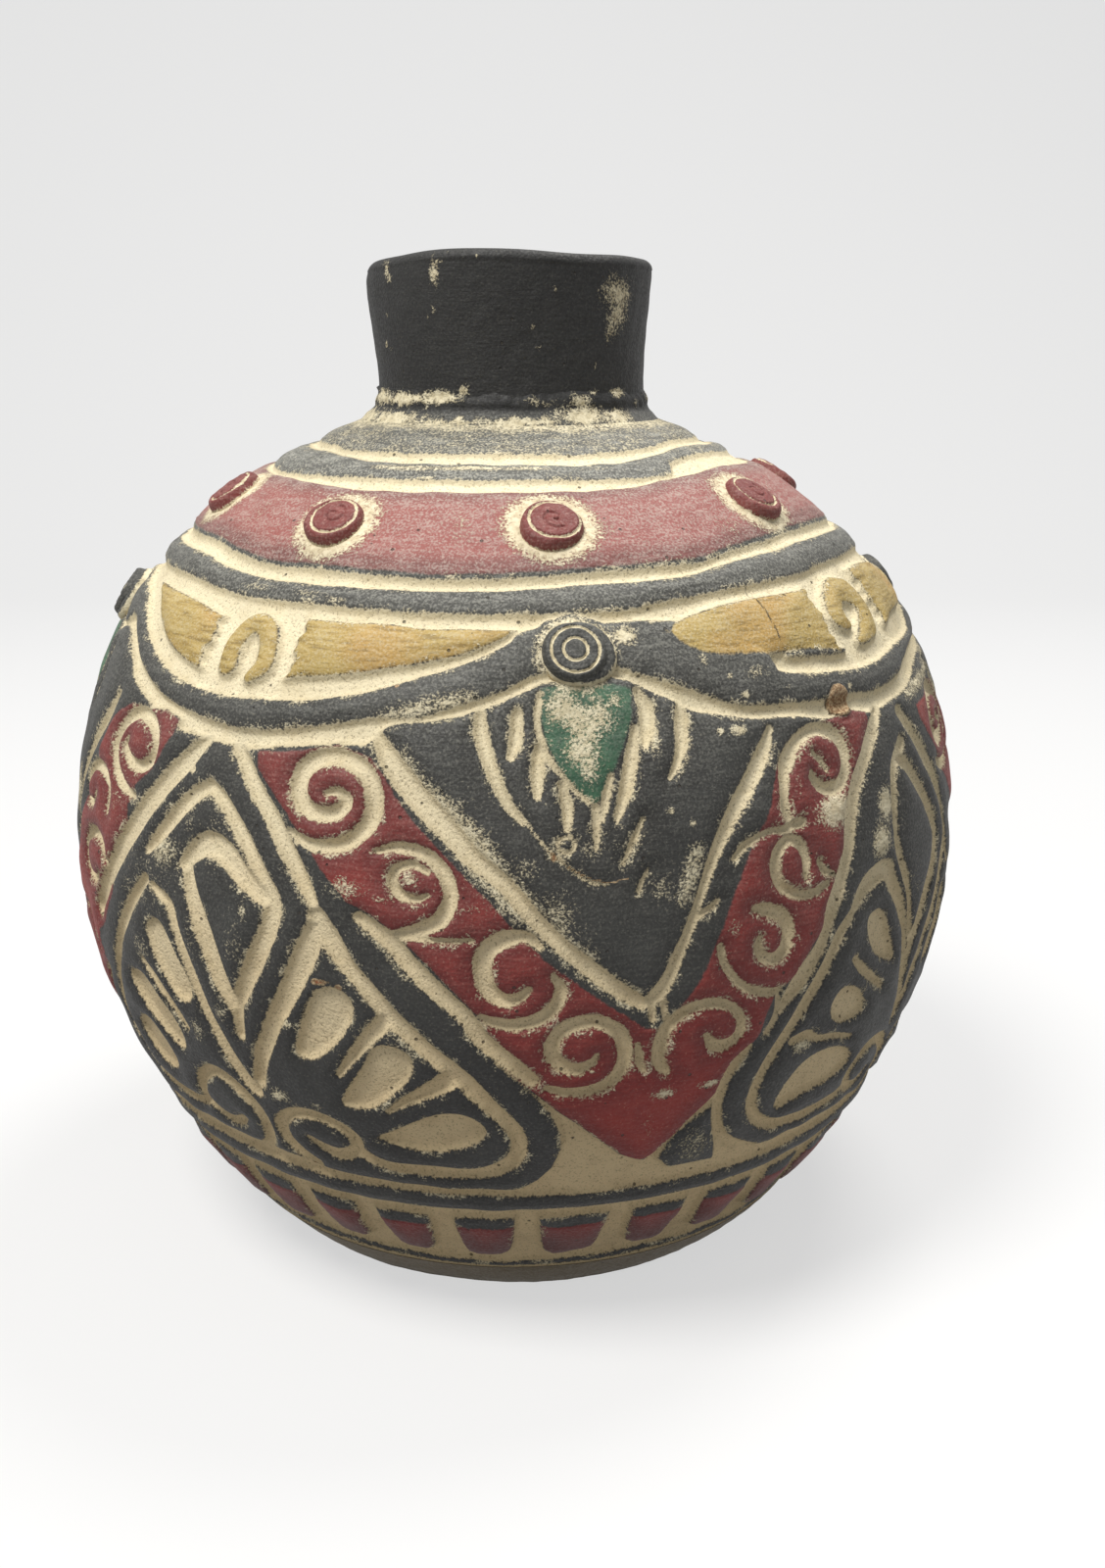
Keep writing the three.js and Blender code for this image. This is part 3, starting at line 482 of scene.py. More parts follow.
def off_line(near, a, b):
    """How far along the line from a to b the points lie, 0 to 1, and how far off it in mm."""
    azimuth, distance, scale = near
    px, py = (azimuth - a[0]) * scale, distance - a[1]
    dx, dy = (b[0] - a[0]) * scale, b[1] - a[1]
    t = np.clip((px * dx + py * dy) / (dx * dx + dy * dy + 1e-9), 0, 1)
    return t, np.hypot(px - t * dx, py - t * dy)


def raise_to(into, rows, columns, values):
    """Keeps the larger of what a field holds there and the values."""
    np.maximum(into[rows, columns], values, out=into[rows, columns])


class Wall:
    """The vase's wall as a grid of azimuths (degrees) and distances up it (mm)."""

    def __init__(self, azimuths, distances, radius_at):
        self.azimuths = azimuths
        self.distances = distances
        self.radius = radius_at(distances)
        self.mm_per_degree = self.radius * np.pi / 180
        self.shape = (len(distances), len(azimuths))
        self.azimuth, self.distance = self.drifted()

    def drifted(self):
        """Where each grid point looks in the design: its own place in front, and a little
        off it round the sides and back, so that repeats there differ."""
        azimuth, distance = np.meshgrid(self.azimuths, self.distances)
        share = smoothstep(DRIFT_STARTS, DRIFT_FULL, np.abs(azimuth))
        turn, up = np.radians(azimuth), distance / 30
        aside = np.sin(3 * turn + 1.1 * up + 0.4) + np.sin(7 * turn - 1.7 * up + 2.0)
        along = np.sin(5 * turn + 0.9 * up + 1.3) + 0.7 * np.sin(11 * turn + 1.9 * up)
        reach = DRIFT / np.maximum(self.mm_per_degree, 0.8)[:, None]
        return azimuth + share * aside * reach, distance + share * along * DRIFT

    def field(self, value=FAR_OUTSIDE):
        return np.full(self.shape, value, np.float32)

    def window(self, low, high, margin):
        """The rows and columns within margin mm of a box of azimuths and distances, as
        slices, with the azimuth shift that brings the columns there."""
        margin = margin + 2 * DRIFT
        rows = np.searchsorted(self.distances, [low[1] - margin, high[1] + margin])
        if rows[0] >= rows[1]:
            return []
        reach = margin / self.mm_per_degree[rows[0]:rows[1]].min()
        found = []
        for shift in (-TURN, 0.0, TURN):
            columns = np.searchsorted(
                self.azimuths + shift, [low[0] - reach, high[0] + reach]
            )
            if columns[0] < columns[1]:
                found.append((slice(*rows), slice(*columns), shift))
        return found

    def near(self, rows, columns, shift):
        azimuth = self.azimuth[rows, columns] + shift
        return azimuth, self.distance[rows, columns], self.mm_per_degree[rows][:, None]

    def stroke(self, into, points, offset=(0.0, 0.0), margin=4.0):
        """Adds a cut along points: mm inside its edge, negative outside."""
        line = smooth_line(points)
        line[:, 0] += offset[0]
        line[:, 1] += offset[1]
        for a, b in zip(line[:-1], line[1:]):
            low, high = np.minimum(a, b), np.maximum(a, b)
            for rows, columns, shift in self.window(low, high, high[2] / 2 + margin):
                t, off = off_line(self.near(rows, columns, shift), a, b)
                raise_to(into, rows, columns, (a[2] + (b[2] - a[2]) * t) / 2 - off)

    def outline(self, into, points, offset=(0.0, 0.0), margin=4.0, smooth=False):
        """Adds a closed outline: mm inside it, negative outside."""
        p = np.array(points, float)[:, :2] + offset
        if smooth:
            wrapped = np.vstack([p[-1], p, p[0], p[1]])
            p = smooth_line(wrapped)[4:-4]
        low, high = p.min(0), p.max(0)
        for rows, columns, shift in self.window(low, high, margin):
            near = azimuth, distance, scale = self.near(rows, columns, shift)
            nearest = np.full((len(scale), azimuth.shape[1]), 1e9)
            inside = np.zeros(nearest.shape, bool)
            for a, b in zip(p, np.roll(p, -1, axis=0)):
                nearest = np.minimum(nearest, off_line(near, a, b)[1])
                crosses = (a[1] > distance) != (b[1] > distance)
                at = a[0] + (distance - a[1]) / (b[1] - a[1] + 1e-12) * (b[0] - a[0])
                inside ^= crosses & (azimuth < at)
            raise_to(into, rows, columns, np.where(inside, nearest, -nearest))

    def edge(self, points):
        """The distance up the wall of an edge at each azimuth, round the whole vase."""
        p = np.array(sorted((turned_off(a, 0), s) for a, s in points))
        p = np.vstack([p[-2:] - (TURN, 0), p, p[:2] + (TURN, 0)])
        line = smooth_line(p, 6)
        order = np.argsort(line[:, 0], kind="stable")
        return np.interp(turned_off(self.azimuths, 0), line[order, 0], line[order, 1])

    def between(self, low, high):
        """mm inside the band between two edges."""
        s = self.distance
        return np.minimum(s - low[None, :], high[None, :] - s).astype(np.float32)

    def blob(self, into, azimuth, distance, width, height, strength):
        """Adds a soft patch, width and height in mm."""
        low = np.array((azimuth, distance))
        for rows, columns, shift in self.window(low, low, 2.5 * max(width, height)):
            a, d, scale = self.near(rows, columns, shift)
            x, y = (a - azimuth) * scale / width, (d - distance) / height
            raise_to(into, rows, columns, strength * np.exp(-(x * x + y * y)))


# The edges under the right swag run on to this azimuth before the next swag's start
LOW_EDGES = ("swag_bottom", "field_top")
LOW_EDGES_REACH = 84
# Degrees between the right swag's last point and the next swag's first
SWAG_GAP = 8
# Where the repeats at the back meet
REPEATS_END, REPEATS_START = 245, -114


def swag_edges():
    """The swags' edges round the whole vase: the left one in front, the right one, and
    the left one again at the back."""
    found = {}
    for name, left in SWAG_EDGES.items():
        right = RIGHT_SWAG_EDGES[name]
        points = list(left) + list(right)
        last = right[-1][0]
        start = max(last + SWAG_GAP, LOW_EDGES_REACH * (name in LOW_EDGES))
        points += [(a + SWAG_PERIOD, s) for a, s in left if a + SWAG_PERIOD > start]
        points += [(a + 2 * SWAG_PERIOD, s) for a, s in left]
        opposite = [(a + 2 * SWAG_PERIOD, s) for a, s in right]
        points += [(a, s) for a, s in opposite if a < REPEATS_END]
        points += [(a - SWAG_PERIOD, s) for a, s in left if a - SWAG_PERIOD > REPEATS_START]
        found[name] = points
    return found


# Foot frieze
BAR_AZIMUTHS = [-31.9, -20.9, -9.6, 2.4, 15.7, 27.5, 39]
BAR_SPACING = 277.8 / 25
CHARCOAL_RING_LOW = (40.3, 45.1)
FRIEZE_TOP = 36.8
FRIEZE_RED_TOP = 33.8
FRIEZE_BOTTOM = 20.4
DARK_TURNED_LINE = (14.2, 15.6)
BARE_FOOT = 14.2
# Where each swag's ochre starts and stops, with the carved curl between
LEFT_SWAG_OCHRE = [(-64.2, -42.2), (-26.8, 1.4)]
RIGHT_SWAG_OCHRE = [(20.6, 47.4), (64.4, 91.2)]
# A strip of charcoal under the right-hand ochre
DARK_LEDGE = [(37.8, 153.6, 0.8), (41, 153.4, 1.5), (45, 152.8, 1.6), (48.6, 152.2, 0.8)]

# Dust and wear: azimuth, distance, width and height in mm, strength
DUST = [(-38, 168.5, 8, 1.6, 0.5), (-28, 168, 7, 1.6, 0.5), (-24, 166.8, 5, 1, 0.6),
    (8, 171, 8, 2, 0.45), (-22, 203, 14, 1.6, 0.7), (-8, 203, 12, 1.4, 0.8), (4, 203, 8, 1.6, 0.7),
    (20, 203, 10, 1.6, 0.45), (-7, 186, 4, 9, 0.45), (16, 186, 4, 9, 0.4), (-25, 186, 5, 8, 0.4),
    (40, 183, 6, 6, 0.4), (-50, 186, 8, 7, 0.35), (25, 180, 12, 3, 0.3), (-5, 125, 6, 10, 0.5),
    (5, 110, 5, 6, 0.6), (7.5, 106, 5, 4, 0.4), (2, 119, 4, 4, 0.5), (9, 122, 4, 3, 0.5),
    (16.4, 114, 4, 4, 0.5), (18.5, 118, 3, 3, 0.4), (27, 140.6, 2.6, 1.2, 0.9),
    (24.6, 140.8, 1, 1, 0.9), (17.6, 127.6, 1, 1, 0.8), (20, 125, 1, 1, 0.8),
    (29.2, 147, 1.4, 0.9, 0.9), (24.4, 154.4, 1.6, 2, 0.6), (27.6, 150.8, 0.9, 0.7, 0.9),
    (31.5, 151, 4, 2, 0.6), (35.6, 147.4, 1.4, 1, 0.5), (46.2, 145, 0.8, 0.8, 0.9),
    (15, 160, 3, 2.6, 0.9), (13, 157.5, 1.4, 3, 0.7), (39.4, 122.8, 6.6, 4.2, 1),
    (28, 120.6, 4, 1, 0.6), (24.6, 105, 2, 3, 0.5), (22.6, 57, 5, 8, 0.5), (-42, 114.5, 6, 5, 0.7),
    (-37.5, 121, 3, 3, 0.45), (-33, 116, 5, 3.4, 0.7), (-29, 106.6, 1.6, 3, 0.6),
    (-31, 99, 1.6, 4, 0.5), (-33.6, 84, 3, 4, 0.5), (-38.4, 78, 3, 4, 0.55), (-41, 90, 2, 5, 0.4),
    (-47, 92, 4, 4, 0.55), (-48.6, 104, 5, 3, 0.5), (-17, 114, 5, 3, 0.6),
    (-12.6, 112.4, 3, 1, 0.5), (-9.8, 116.4, 2.4, 2, 0.7), (-3, 111.6, 4, 1.6, 0.45),
    (17.4, 72.4, 3, 1.6, 0.85), (23, 73, 3, 1.2, 0.8), (16.4, 64, 2, 7, 0.35),
    (17.4, 84, 2, 5, 0.6), (48.4, 121, 3.4, 4, 0.95), (47, 114, 4, 5, 0.9),
    (36, 75.6, 4, 2.4, 0.7), (6.4, 147, 4.6, 5, 0.8), (10.4, 145, 4.4, 5, 0.76),
    (8, 139, 4, 3.6, 0.78), (3.5, 141, 1.2, 3, 0.6), (12.5, 148, 2, 2, 0.7),
    (9, 134, 2.6, 2.4, 0.55), (22, 136, 3, 6, 0.2), (-60, 150, 3, 5, 0.5), (16.5, 142, 2, 6, 0.8),
    (24, 49.6, 5, 1.4, 0.7), (27, 48.4, 4, 1.6, 0.7), (14, 52, 10, 4, 0.2), (38, 129, 3, 2, 0.5),
    (34, 129, 2, 4, 0.4), (9, 132, 3, 2.4, 0.3), (11, 122, 3, 5, 0.35), (-24, 64, 2, 2, 0.3),
    (-27.4, 68, 3, 2.4, 0.75), (-22.6, 67.4, 2, 1.2, 0.6), (-24.6, 85.4, 1.8, 1.2, 0.8),
    (-44, 108, 12, 16, 0.38), (-41, 92, 8, 12, 0.44), (-52, 122, 8, 10, 0.4),
    (50, 118, 6, 14, 0.42), (55, 100, 8, 14, 0.36), (12, 118, 12, 8, 0.26), (-30, 100, 4, 8, 0.4),
    (-34, 120, 8, 6, 0.4), (-37, 100, 3, 12, 0.4)]


# Dust, and a pale veil over the upper wall that is partly a real film and partly painted
# haze of light: from and to a distance up the wall in mm, and the share it reaches
HIGH_DUST = [(202, 209, 0.46), (211, 222, 0.72), (182, 196, 0.3)]
HIGH_FILM_AND_HAZE = [(70, 120, 0.06), (120, 200, 0.3), (196, 204, 0.1)]
PLAIN_DUST = 0.03
# On the neck and its luting
PLAIN_FILM = 0.02
WELL_PROUD = -3.0
# Cream left round the pressed pieces: gap, width in mm and share
BOSS_HALO = (0.6, 4.0, 0.85)
MEDALLION_HALO = (0.0, 2.4, 0.7)
STROKE_POWDER = 0.74
RED_TUCK = (-0.8, 2)
CRACK_WIDTH = 0.4


def painted_zones(wall):
    """What the slip material needs at each grid point: mm inside the carved cream cuts
    and the red, ochre, green and bare fields, with charcoal where none of them is, and
    the shares of dust, of a pale veil that is partly painted haze of light, and of chips."""
    ring = {name: wall.edge(points) for name, points in RING_EDGES.items()}
    swag = {name: wall.edge(points) for name, points in swag_edges().items()}
    level = np.zeros(len(wall.azimuths))
    turns = [(turn * SWAG_PERIOD, 0.0) for turn in range(4)]

    charcoal = wall.between(ring["wash_bottom"], level + WALL_LENGTH + 20)
    for low, high in (
        (ring["band_bottom"], ring["band_top"]),
        [ring["red_bottom"] + tuck for tuck in RED_TUCK],
        (ring["ring_bottom"], ring["ring_top"]),
        (swag["swag_bottom"], swag["swag_top"]),
        (ring["base_top"], swag["field_top"]),
        [level + end for end in CHARCOAL_RING_LOW],
        [level + end for end in DARK_TURNED_LINE],
    ):
        charcoal = np.maximum(charcoal, wall.between(low, high))
    wall.outline(charcoal, SWAG_KNOT, turns[0])
    for at in turns[1:]:
        wall.outline(charcoal, SWAG_KNOT_SHORT, at)

    red = wall.between(ring["red_bottom"], ring["red_top"])
    frieze(wall, red, charcoal)

    ochre = wall.field()
    whole = wall.between(swag["ochre_bottom"], swag["ochre_top"])
    lengths = LEFT_SWAG_OCHRE + RIGHT_SWAG_OCHRE
    for start, stop in lengths + [(a + 180, b + 180) for a, b in lengths]:
        middle, half = (start + stop) / 2, (stop - start) / 2
        off = np.abs(turned_off(wall.azimuths, middle))
        inside = (half - off)[None, :] * wall.mm_per_degree[:, None]
        uneven = 0.4 * np.sin(0.9 * wall.distance + start)
        inside += uneven + 0.3 * np.sin(2.3 * wall.distance + stop)
        ochre = np.maximum(ochre, np.minimum(whole, inside))
    for turn in (0.0, 180.0):
        wall.stroke(ochre, CURL_LEFT, (turn, 0))
        wall.outline(ochre, CURL_RIGHT, (turn, 0), smooth=True)
        wall.stroke(charcoal, DARK_LEDGE, (turn, 0))

    green, cuts, worn = wall.field(), wall.field(), wall.field()
    for at in turns:
        wall.outline(red, RED_CHEVRON, at)
        wall.outline(green, GREEN_DROP, at, smooth=True)
        wall.outline(cuts, CREAM_FOOT_FIELD, at)
        wall.outline(worn, WORN_PATCH, at)
        # The panel right of the front chevron stands a little nearer to it
        aside = -2 if at[0] == SWAG_PERIOD else 0
        carve(wall, cuts, PANEL_RIGHT_STROKES, PANEL_RIGHT_PETALS, (at[0] + aside, 0))
        left_out = ("outer_right", "outer_right_chip") if at[0] else ()
        if at[0] == 3 * SWAG_PERIOD:
            left_out += NEIGHBOUR_LEFT_OUT
        strokes = {k: v for k, v in CHEVRON_STROKES.items() if k not in left_out}
        carve(wall, cuts, strokes, [], at)
    carve(wall, cuts, LEFT_NEIGHBOUR_SPIRALS, [], turns[0])
    for at in (turns[0], turns[2], turns[3]):
        carve(wall, cuts, PANEL_LEFT_STROKES, PANEL_LEFT_PETALS, at)
    carve(wall, cuts, PANEL_LEFT_ALT_STROKES, PANEL_LEFT_ALT_PETALS, turns[0])
    cuts = np.minimum(cuts, -worn)

    proud = np.maximum(np.maximum(charcoal, red), np.maximum(ochre, green))
    cream = np.maximum(-proud, cuts)

    dust, film, chip = wall.field(PLAIN_DUST), wall.field(0.0), wall.field(0.0)
    for azimuth, distance, width, height, strength in DUST:
        wall.blob(dust, azimuth, distance, width, height, strength)
        wall.blob(dust, azimuth + 180, distance, width, height, strength)
    for low, high, share in HIGH_DUST:
        dust = np.maximum(dust, share * smoothstep(low, high, wall.distances)[:, None])
    for azimuth, down in BOSS_PLACES:
        halo(wall, dust, azimuth, down, BOSS_RADIUS, *BOSS_HALO)
    for azimuth in MEDALLION_AZIMUTHS:
        halo(wall, dust, azimuth, MEDALLION_DROP, MEDALLION_BACK_RADIUS, *MEDALLION_HALO)
    for azimuth, distance, width, height in CHIPS:
        wall.blob(chip, azimuth, distance, width, height, 1.0)
    # A pale veil rising up the wall, partly a real film and partly painted haze of light
    for low, high, share in HIGH_FILM_AND_HAZE:
        film += share * smoothstep(low, high, wall.distances)[:, None]
    powder = wall.field()
    for at in turns:
        for points in DUSTY_STROKES:
            wall.stroke(powder, points, at, 6.0)
    dust = np.maximum(dust, STROKE_POWDER * smoothstep(-4.5, 2.0, powder))
    lump, scratch, crack = (wall.field(ABSENT) for _ in range(3))
    wall.outline(lump, PEBBLE_OUTLINE, smooth=True)
    wall.stroke(scratch, SCRATCH)
    chip = np.maximum(chip, 0.8 * smoothstep(-0.3, 0.2, np.maximum(lump, scratch)))
    wall.stroke(crack, CRACK)
    # A dark crevice round the pebble, partly a real gap and partly painted shade
    wall.stroke(crack, [(*p, CRACK_WIDTH) for p in PEBBLE_OUTLINE + PEBBLE_OUTLINE[:1]])
    bare = np.repeat((BARE_FOOT - wall.distances)[:, None], len(wall.azimuths), 1)
    return {
        "cream": cream, "red": red, "ochre": ochre, "green": green, "dust": dust,
        "film": film, "chip": chip, "crack": crack, "lump": lump,
        "bare": bare.astype(np.float32),
    }


def carve(wall, cuts, strokes, petals, at):
    for points in strokes.values():
        wall.stroke(cuts, points, at)
    for points in petals:
        wall.outline(cuts, points, at, smooth=True)


def halo(wall, dust, azimuth, down, radius, gap, width, strength):
    """Cream dust left in a ring round something pressed onto the wall, so many mm down."""
    distance, radius = WALL_LENGTH - down, radius + gap
    middle = np.array((azimuth, distance))
    for rows, columns, shift in wall.window(middle, middle, radius + 3 * width):
        a, d, scale = wall.near(rows, columns, shift)
        off = np.hypot((a - azimuth) * scale, d - distance) - radius
        ring = strength * np.exp(-((np.maximum(off, 0) / width) ** 2))
        raise_to(dust, rows, columns, ring)


def frieze(wall, red, charcoal):
    """Red squares between cream bars round the foot, dark at the top."""
    rest = np.arange(BAR_AZIMUTHS[-1] + BAR_SPACING, BAR_AZIMUTHS[0] + TURN - 1, BAR_SPACING)
    chance = np.random.default_rng(11)
    bars = np.concatenate([BAR_AZIMUTHS, rest + chance.uniform(-0.6, 0.6, len(rest))])
    for left, right in zip(bars, np.append(bars[1:], bars[0] + TURN)):
        for into, top in ((red, FRIEZE_RED_TOP), (charcoal, FRIEZE_TOP)):
            # Degrees from the bar's middle to the square's side, which leans in downwards
            side = [(1.8, top), (2, 30), (2.3, 25), (2.7, 22), (4.1, FRIEZE_BOTTOM)]
            square = [(left + inset, level) for inset, level in side]
            square += [(right - inset, level) for inset, level in reversed(side)]
            wall.outline(into, square)


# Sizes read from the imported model, in millimetres
shoulder_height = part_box("body_shell")[1].z / MM
seam_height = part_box("base_disc")[1].z / MM
rim_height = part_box("neck_collar")[1].z / MM
OUTLINE = wall_outline(BELLY_RADIUS, shoulder_height)
WALL_LENGTH = OUTLINE[0][-1]
WALL_THICKNESS = 7.0
MOUTH_RADIUS = 24.0
NECK_LEAN = [(150, 0), (180.5, -1.1), (214, -1.3)]


def radius_at(distance):
    return np.interp(distance, OUTLINE[0], OUTLINE[1])


def height_at(distance):
    return np.interp(distance, OUTLINE[0], OUTLINE[2])


def on_wall(azimuth, distance, lift=0.0):
    """Points in mm at azimuths and distances up the wall, lifted off it along its normal."""
    step = 0.25
    radius, height = radius_at(distance), height_at(distance)
    low, high = np.maximum(distance - step, 0), np.minimum(distance + step, WALL_LENGTH)
    dr = radius_at(high) - radius_at(low)
    dz = height_at(high) - height_at(low)
    length = np.hypot(dr, dz)
    radius = radius + lift * dz / length
    height = height - lift * dr / length
    turn = np.radians(azimuth)
    x = radius * np.sin(turn) + lean(height)
    return np.stack(np.broadcast_arrays(x, -radius * np.cos(turn), height), -1)


def lean(height):
    """How far the neck stands off the globe's axis."""
    heights, offsets = zip(*NECK_LEAN)
    return np.interp(height, heights, offsets)


def waves(points, wavelength, seed, count=24):
    """Smooth, repeatable unevenness, about -1 to 1, with bumps of one rough size."""
    chance = np.random.default_rng(seed)
    direction = chance.normal(size=(count, 3))
    direction /= np.linalg.norm(direction, axis=1)[:, None]
    pace = 2 * np.pi / (wavelength * chance.uniform(0.7, 1.5, count))
    phase = chance.uniform(0, 2 * np.pi, count)
    total = np.zeros(points.shape[:-1], np.float32)
    for d, k, f in zip(direction, pace, phase):
        total += np.sin(points @ d.astype(np.float32) * k + f)
    return total / np.sqrt(count)


def hand_waves(points, much, wavelength, seed):
    """Unevenness of a hand-made surface: so many mm high and long."""
    return much * waves(points, wavelength, seed)


# Every painted piece carries the same measures for the slip material, in mm inside an
# edge, or as a share from 0 to 1
LAYERS = dict.fromkeys(("cream", "red", "ochre", "green", "bare", "crack"), ABSENT)
LAYERS |= dict.fromkeys(("dust", "film", "chip"), 0.0)


def build(name, points, counts, corners, layers, uv=None):
    """A smooth mesh from points in mm, the number of corners of each face and the corners."""
    mesh = bpy.data.meshes.new(name)
    mesh.vertices.add(len(points))
    mesh.vertices.foreach_set("co", (points * MM).astype(np.float32).ravel())
    mesh.loops.add(len(corners))
    mesh.loops.foreach_set("vertex_index", corners)
    mesh.polygons.add(len(counts))
    starts = np.concatenate([[0], np.cumsum(counts)[:-1]]).astype(np.int32)
    mesh.polygons.foreach_set("loop_start", starts)
    mesh.update(calc_edges=True)
    mesh.validate()
    mesh.polygons.foreach_set("use_smooth", np.ones(len(mesh.polygons), bool))
    for layer, plain in LAYERS.items():
        values = np.full(len(points), plain, np.float32)
        if layer in layers:
            values[: layers[layer].size] = layers[layer].ravel()
        mesh.attributes.new(layer, "FLOAT", "POINT").data.foreach_set("value", values)
    if uv is not None:
        places = mesh.uv_layers.new(name="OFBake")
        places.data.foreach_set("uv", uv.astype(np.float32).ravel())
    return mesh


def finish_piece(name, mesh, nodes):
    """Puts a piece in the scene, where it rides on the vase and replaces its own node."""
    piece = bpy.data.objects.new(name, mesh)
    bpy.context.scene.collection.objects.link(piece)
    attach(piece, BODY)
    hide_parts(*nodes)


def grid_faces(rows, columns, first=0):
    """Quads between rows of a grid whose columns run round and meet."""
    r = np.arange(rows - 1)[:, None]
    c = np.arange(columns)[None, :]
    a = first + r * columns + c
    b = first + r * columns + (c + 1) % columns
    quads = np.stack([a, b, b + columns, a + columns], -1)
    return quads.reshape(-1, 4)


# Body

COLUMNS = 1140
ROW_STEP = 0.5
CUT_DEPTH = 1.25
SHALLOWER = 0.45
CUT_WALL = (-0.5, 1.3)
RED_HEIGHT = 0.22
PEBBLE_HEIGHT = 0.9
FINE_WAVES = (0.12, 9.0, 3)
BROAD_WAVES = (0.3, 45.0, 4)
ROLL_DROP = 0.45
ROLL_WIDTH = 1.8
INNER_COLUMNS = COLUMNS // 6
INNER_STEP = 6.0
seam_distance = float(np.interp(seam_height, OUTLINE[2], OUTLINE[0]))


def relief(zones, distances):
    """Height of the carved surface over the plain wall, in mm."""
    cream = zones["cream"]
    proud = np.maximum(-cream, 0)
    depth = CUT_DEPTH - SHALLOWER * smoothstep(165, 185, distances)[:, None]
    height = -depth * smoothstep(*CUT_WALL, cream)
    height -= ROLL_DROP * np.exp(-((proud / ROLL_WIDTH) ** 2))
    height += RED_HEIGHT * smoothstep(-0.2, 0.5, zones["red"]) * (cream < 0)
    height += PEBBLE_HEIGHT * smoothstep(-0.6, 0.8, zones["lump"])
    return height


def turns_round(columns):
    """The azimuths of a ring's points, in degrees."""
    return np.arange(columns) * TURN / columns - 180


def ring_points(radii, heights, turn):
    """A ring of points round the vase's axis for each radius and height, in mm."""
    x = radii[:, None] * np.sin(turn) + lean(heights)[:, None]
    y = -radii[:, None] * np.cos(turn)
    return np.stack([x, y, np.repeat(heights[:, None], len(turn), 1)], -1)


def make_body():
    rows = np.arange(seam_distance, WALL_LENGTH, ROW_STEP)
    wall = Wall(turns_round(COLUMNS), rows, radius_at)
    zones = painted_zones(wall)
    azimuth, distance = np.meshgrid(wall.azimuths, rows)
    flat = on_wall(azimuth, distance).astype(np.float32)
    height = relief(zones, rows)
    height += hand_waves(flat, *FINE_WAVES) + hand_waves(flat, *BROAD_WAVES)
    height *= smoothstep(0, 1.5, distance - seam_distance + 0.2)
    height *= smoothstep(WALL_LENGTH - 1.0, WALL_LENGTH - 5.0, distance)
    outer = on_wall(azimuth, distance, height).reshape(-1, 3)

    # The lip under the neck, the inner wall and the seat on the foot
    turn = np.radians(turns_round(INNER_COLUMNS))
    inner_heights = on_wall(0, OUTLINE[0], -WALL_THICKNESS)[:, 2]
    start = float(np.interp(seam_height, inner_heights, OUTLINE[0]))
    inner_rows = np.linspace(WALL_LENGTH, start, int((WALL_LENGTH - start) / INNER_STEP))
    inner = on_wall(0, inner_rows, -WALL_THICKNESS)
    profile = [(MOUTH_RADIUS, shoulder_height), (MOUTH_RADIUS, inner[0, 2])]
    profile += [(-p[1], p[2]) for p in inner]
    profile[-1] = (profile[-1][0], seam_height)
    radii, heights = np.array(profile).T
    inside = ring_points(radii, heights, turn)
    points = np.vstack([outer, inside.reshape(-1, 3)])

    outer_quads = grid_faces(len(rows), COLUMNS)
    first = len(outer)
    inner_quads = grid_faces(len(profile), INNER_COLUMNS, first)
    top, low = (len(rows) - 1) * COLUMNS, first + (len(profile) - 1) * INNER_COLUMNS
    ratio = COLUMNS // INNER_COLUMNS
    bridges = []
    for j in range(INNER_COLUMNS):
        k = (j + 1) % INNER_COLUMNS
        edge = [top + (j * ratio + i) % COLUMNS for i in range(ratio + 1)]
        bridges.append(edge + [first + k, first + j])
        edge = [(j * ratio + i) % COLUMNS for i in range(ratio, -1, -1)]
        bridges.append(edge + [low + j, low + k])
    counts = [4] * (len(outer_quads) + len(inner_quads)) + [ratio + 3] * len(bridges)
    counts = np.array(counts, np.int32)
    corners = [outer_quads.ravel(), inner_quads.ravel(), np.array(bridges).ravel()]
    corners = np.concatenate(corners).astype(np.int32)
    bare = np.full(len(points), LAYERS["bare"], np.float32)
    bare[len(outer):] = 5
    zones["bare"] = bare
    uv = body_uv(outer_quads, inner_quads, bridges, len(rows))
    mesh = build("carved_body", points, counts, corners, zones, uv)
    finish_piece("carved_body", mesh, ["body_shell"])


def body_uv(outer_quads, inner_quads, bridges, row_count):
    """The outer wall as four quarters, two over two, and the rest in a strip below."""
    quarter = COLUMNS // 4
    strip, gap = 0.05, 0.004
    half = (1 - strip) / 2
    row, column = np.divmod(outer_quads, COLUMNS)
    column = np.where(column < column[:, :1] - 1, column + COLUMNS, column)
    part = np.minimum(column[:, :1] // quarter, 3)
    u = (part % 2) * 0.5 + gap + (column - part * quarter) / quarter * (0.5 - 2 * gap)
    v = strip + (part // 2) * half + gap + row / (row_count - 1) * (half - 2 * gap)
    outer = np.stack([u, v], -1).reshape(-1, 2)
    inner = inner_quads - inner_quads.min()
    row, column = np.divmod(inner, INNER_COLUMNS)
    column = np.where(column < column[:, :1] - 1, column + INNER_COLUMNS, column)
    u = gap + column / INNER_COLUMNS * (1 - 2 * gap)
    v = gap + row / max(row.max(), 1) * (strip - 3 * gap)
    inner = np.stack([u, v], -1).reshape(-1, 2)
    ring = [
        (gap + (j // 2) / INNER_COLUMNS * (1 - 2 * gap), strip - 2 * gap + 0.001 * (i % 2))
        for j, face in enumerate(bridges)
        for i in range(len(face))
    ]
    return np.vstack([outer, inner, np.array(ring)])


make_body()


# Foot

FOOT_COLUMNS = 720
HOLLOW_RADIUS = 40.0
HOLLOW_DEPTH = 1.2


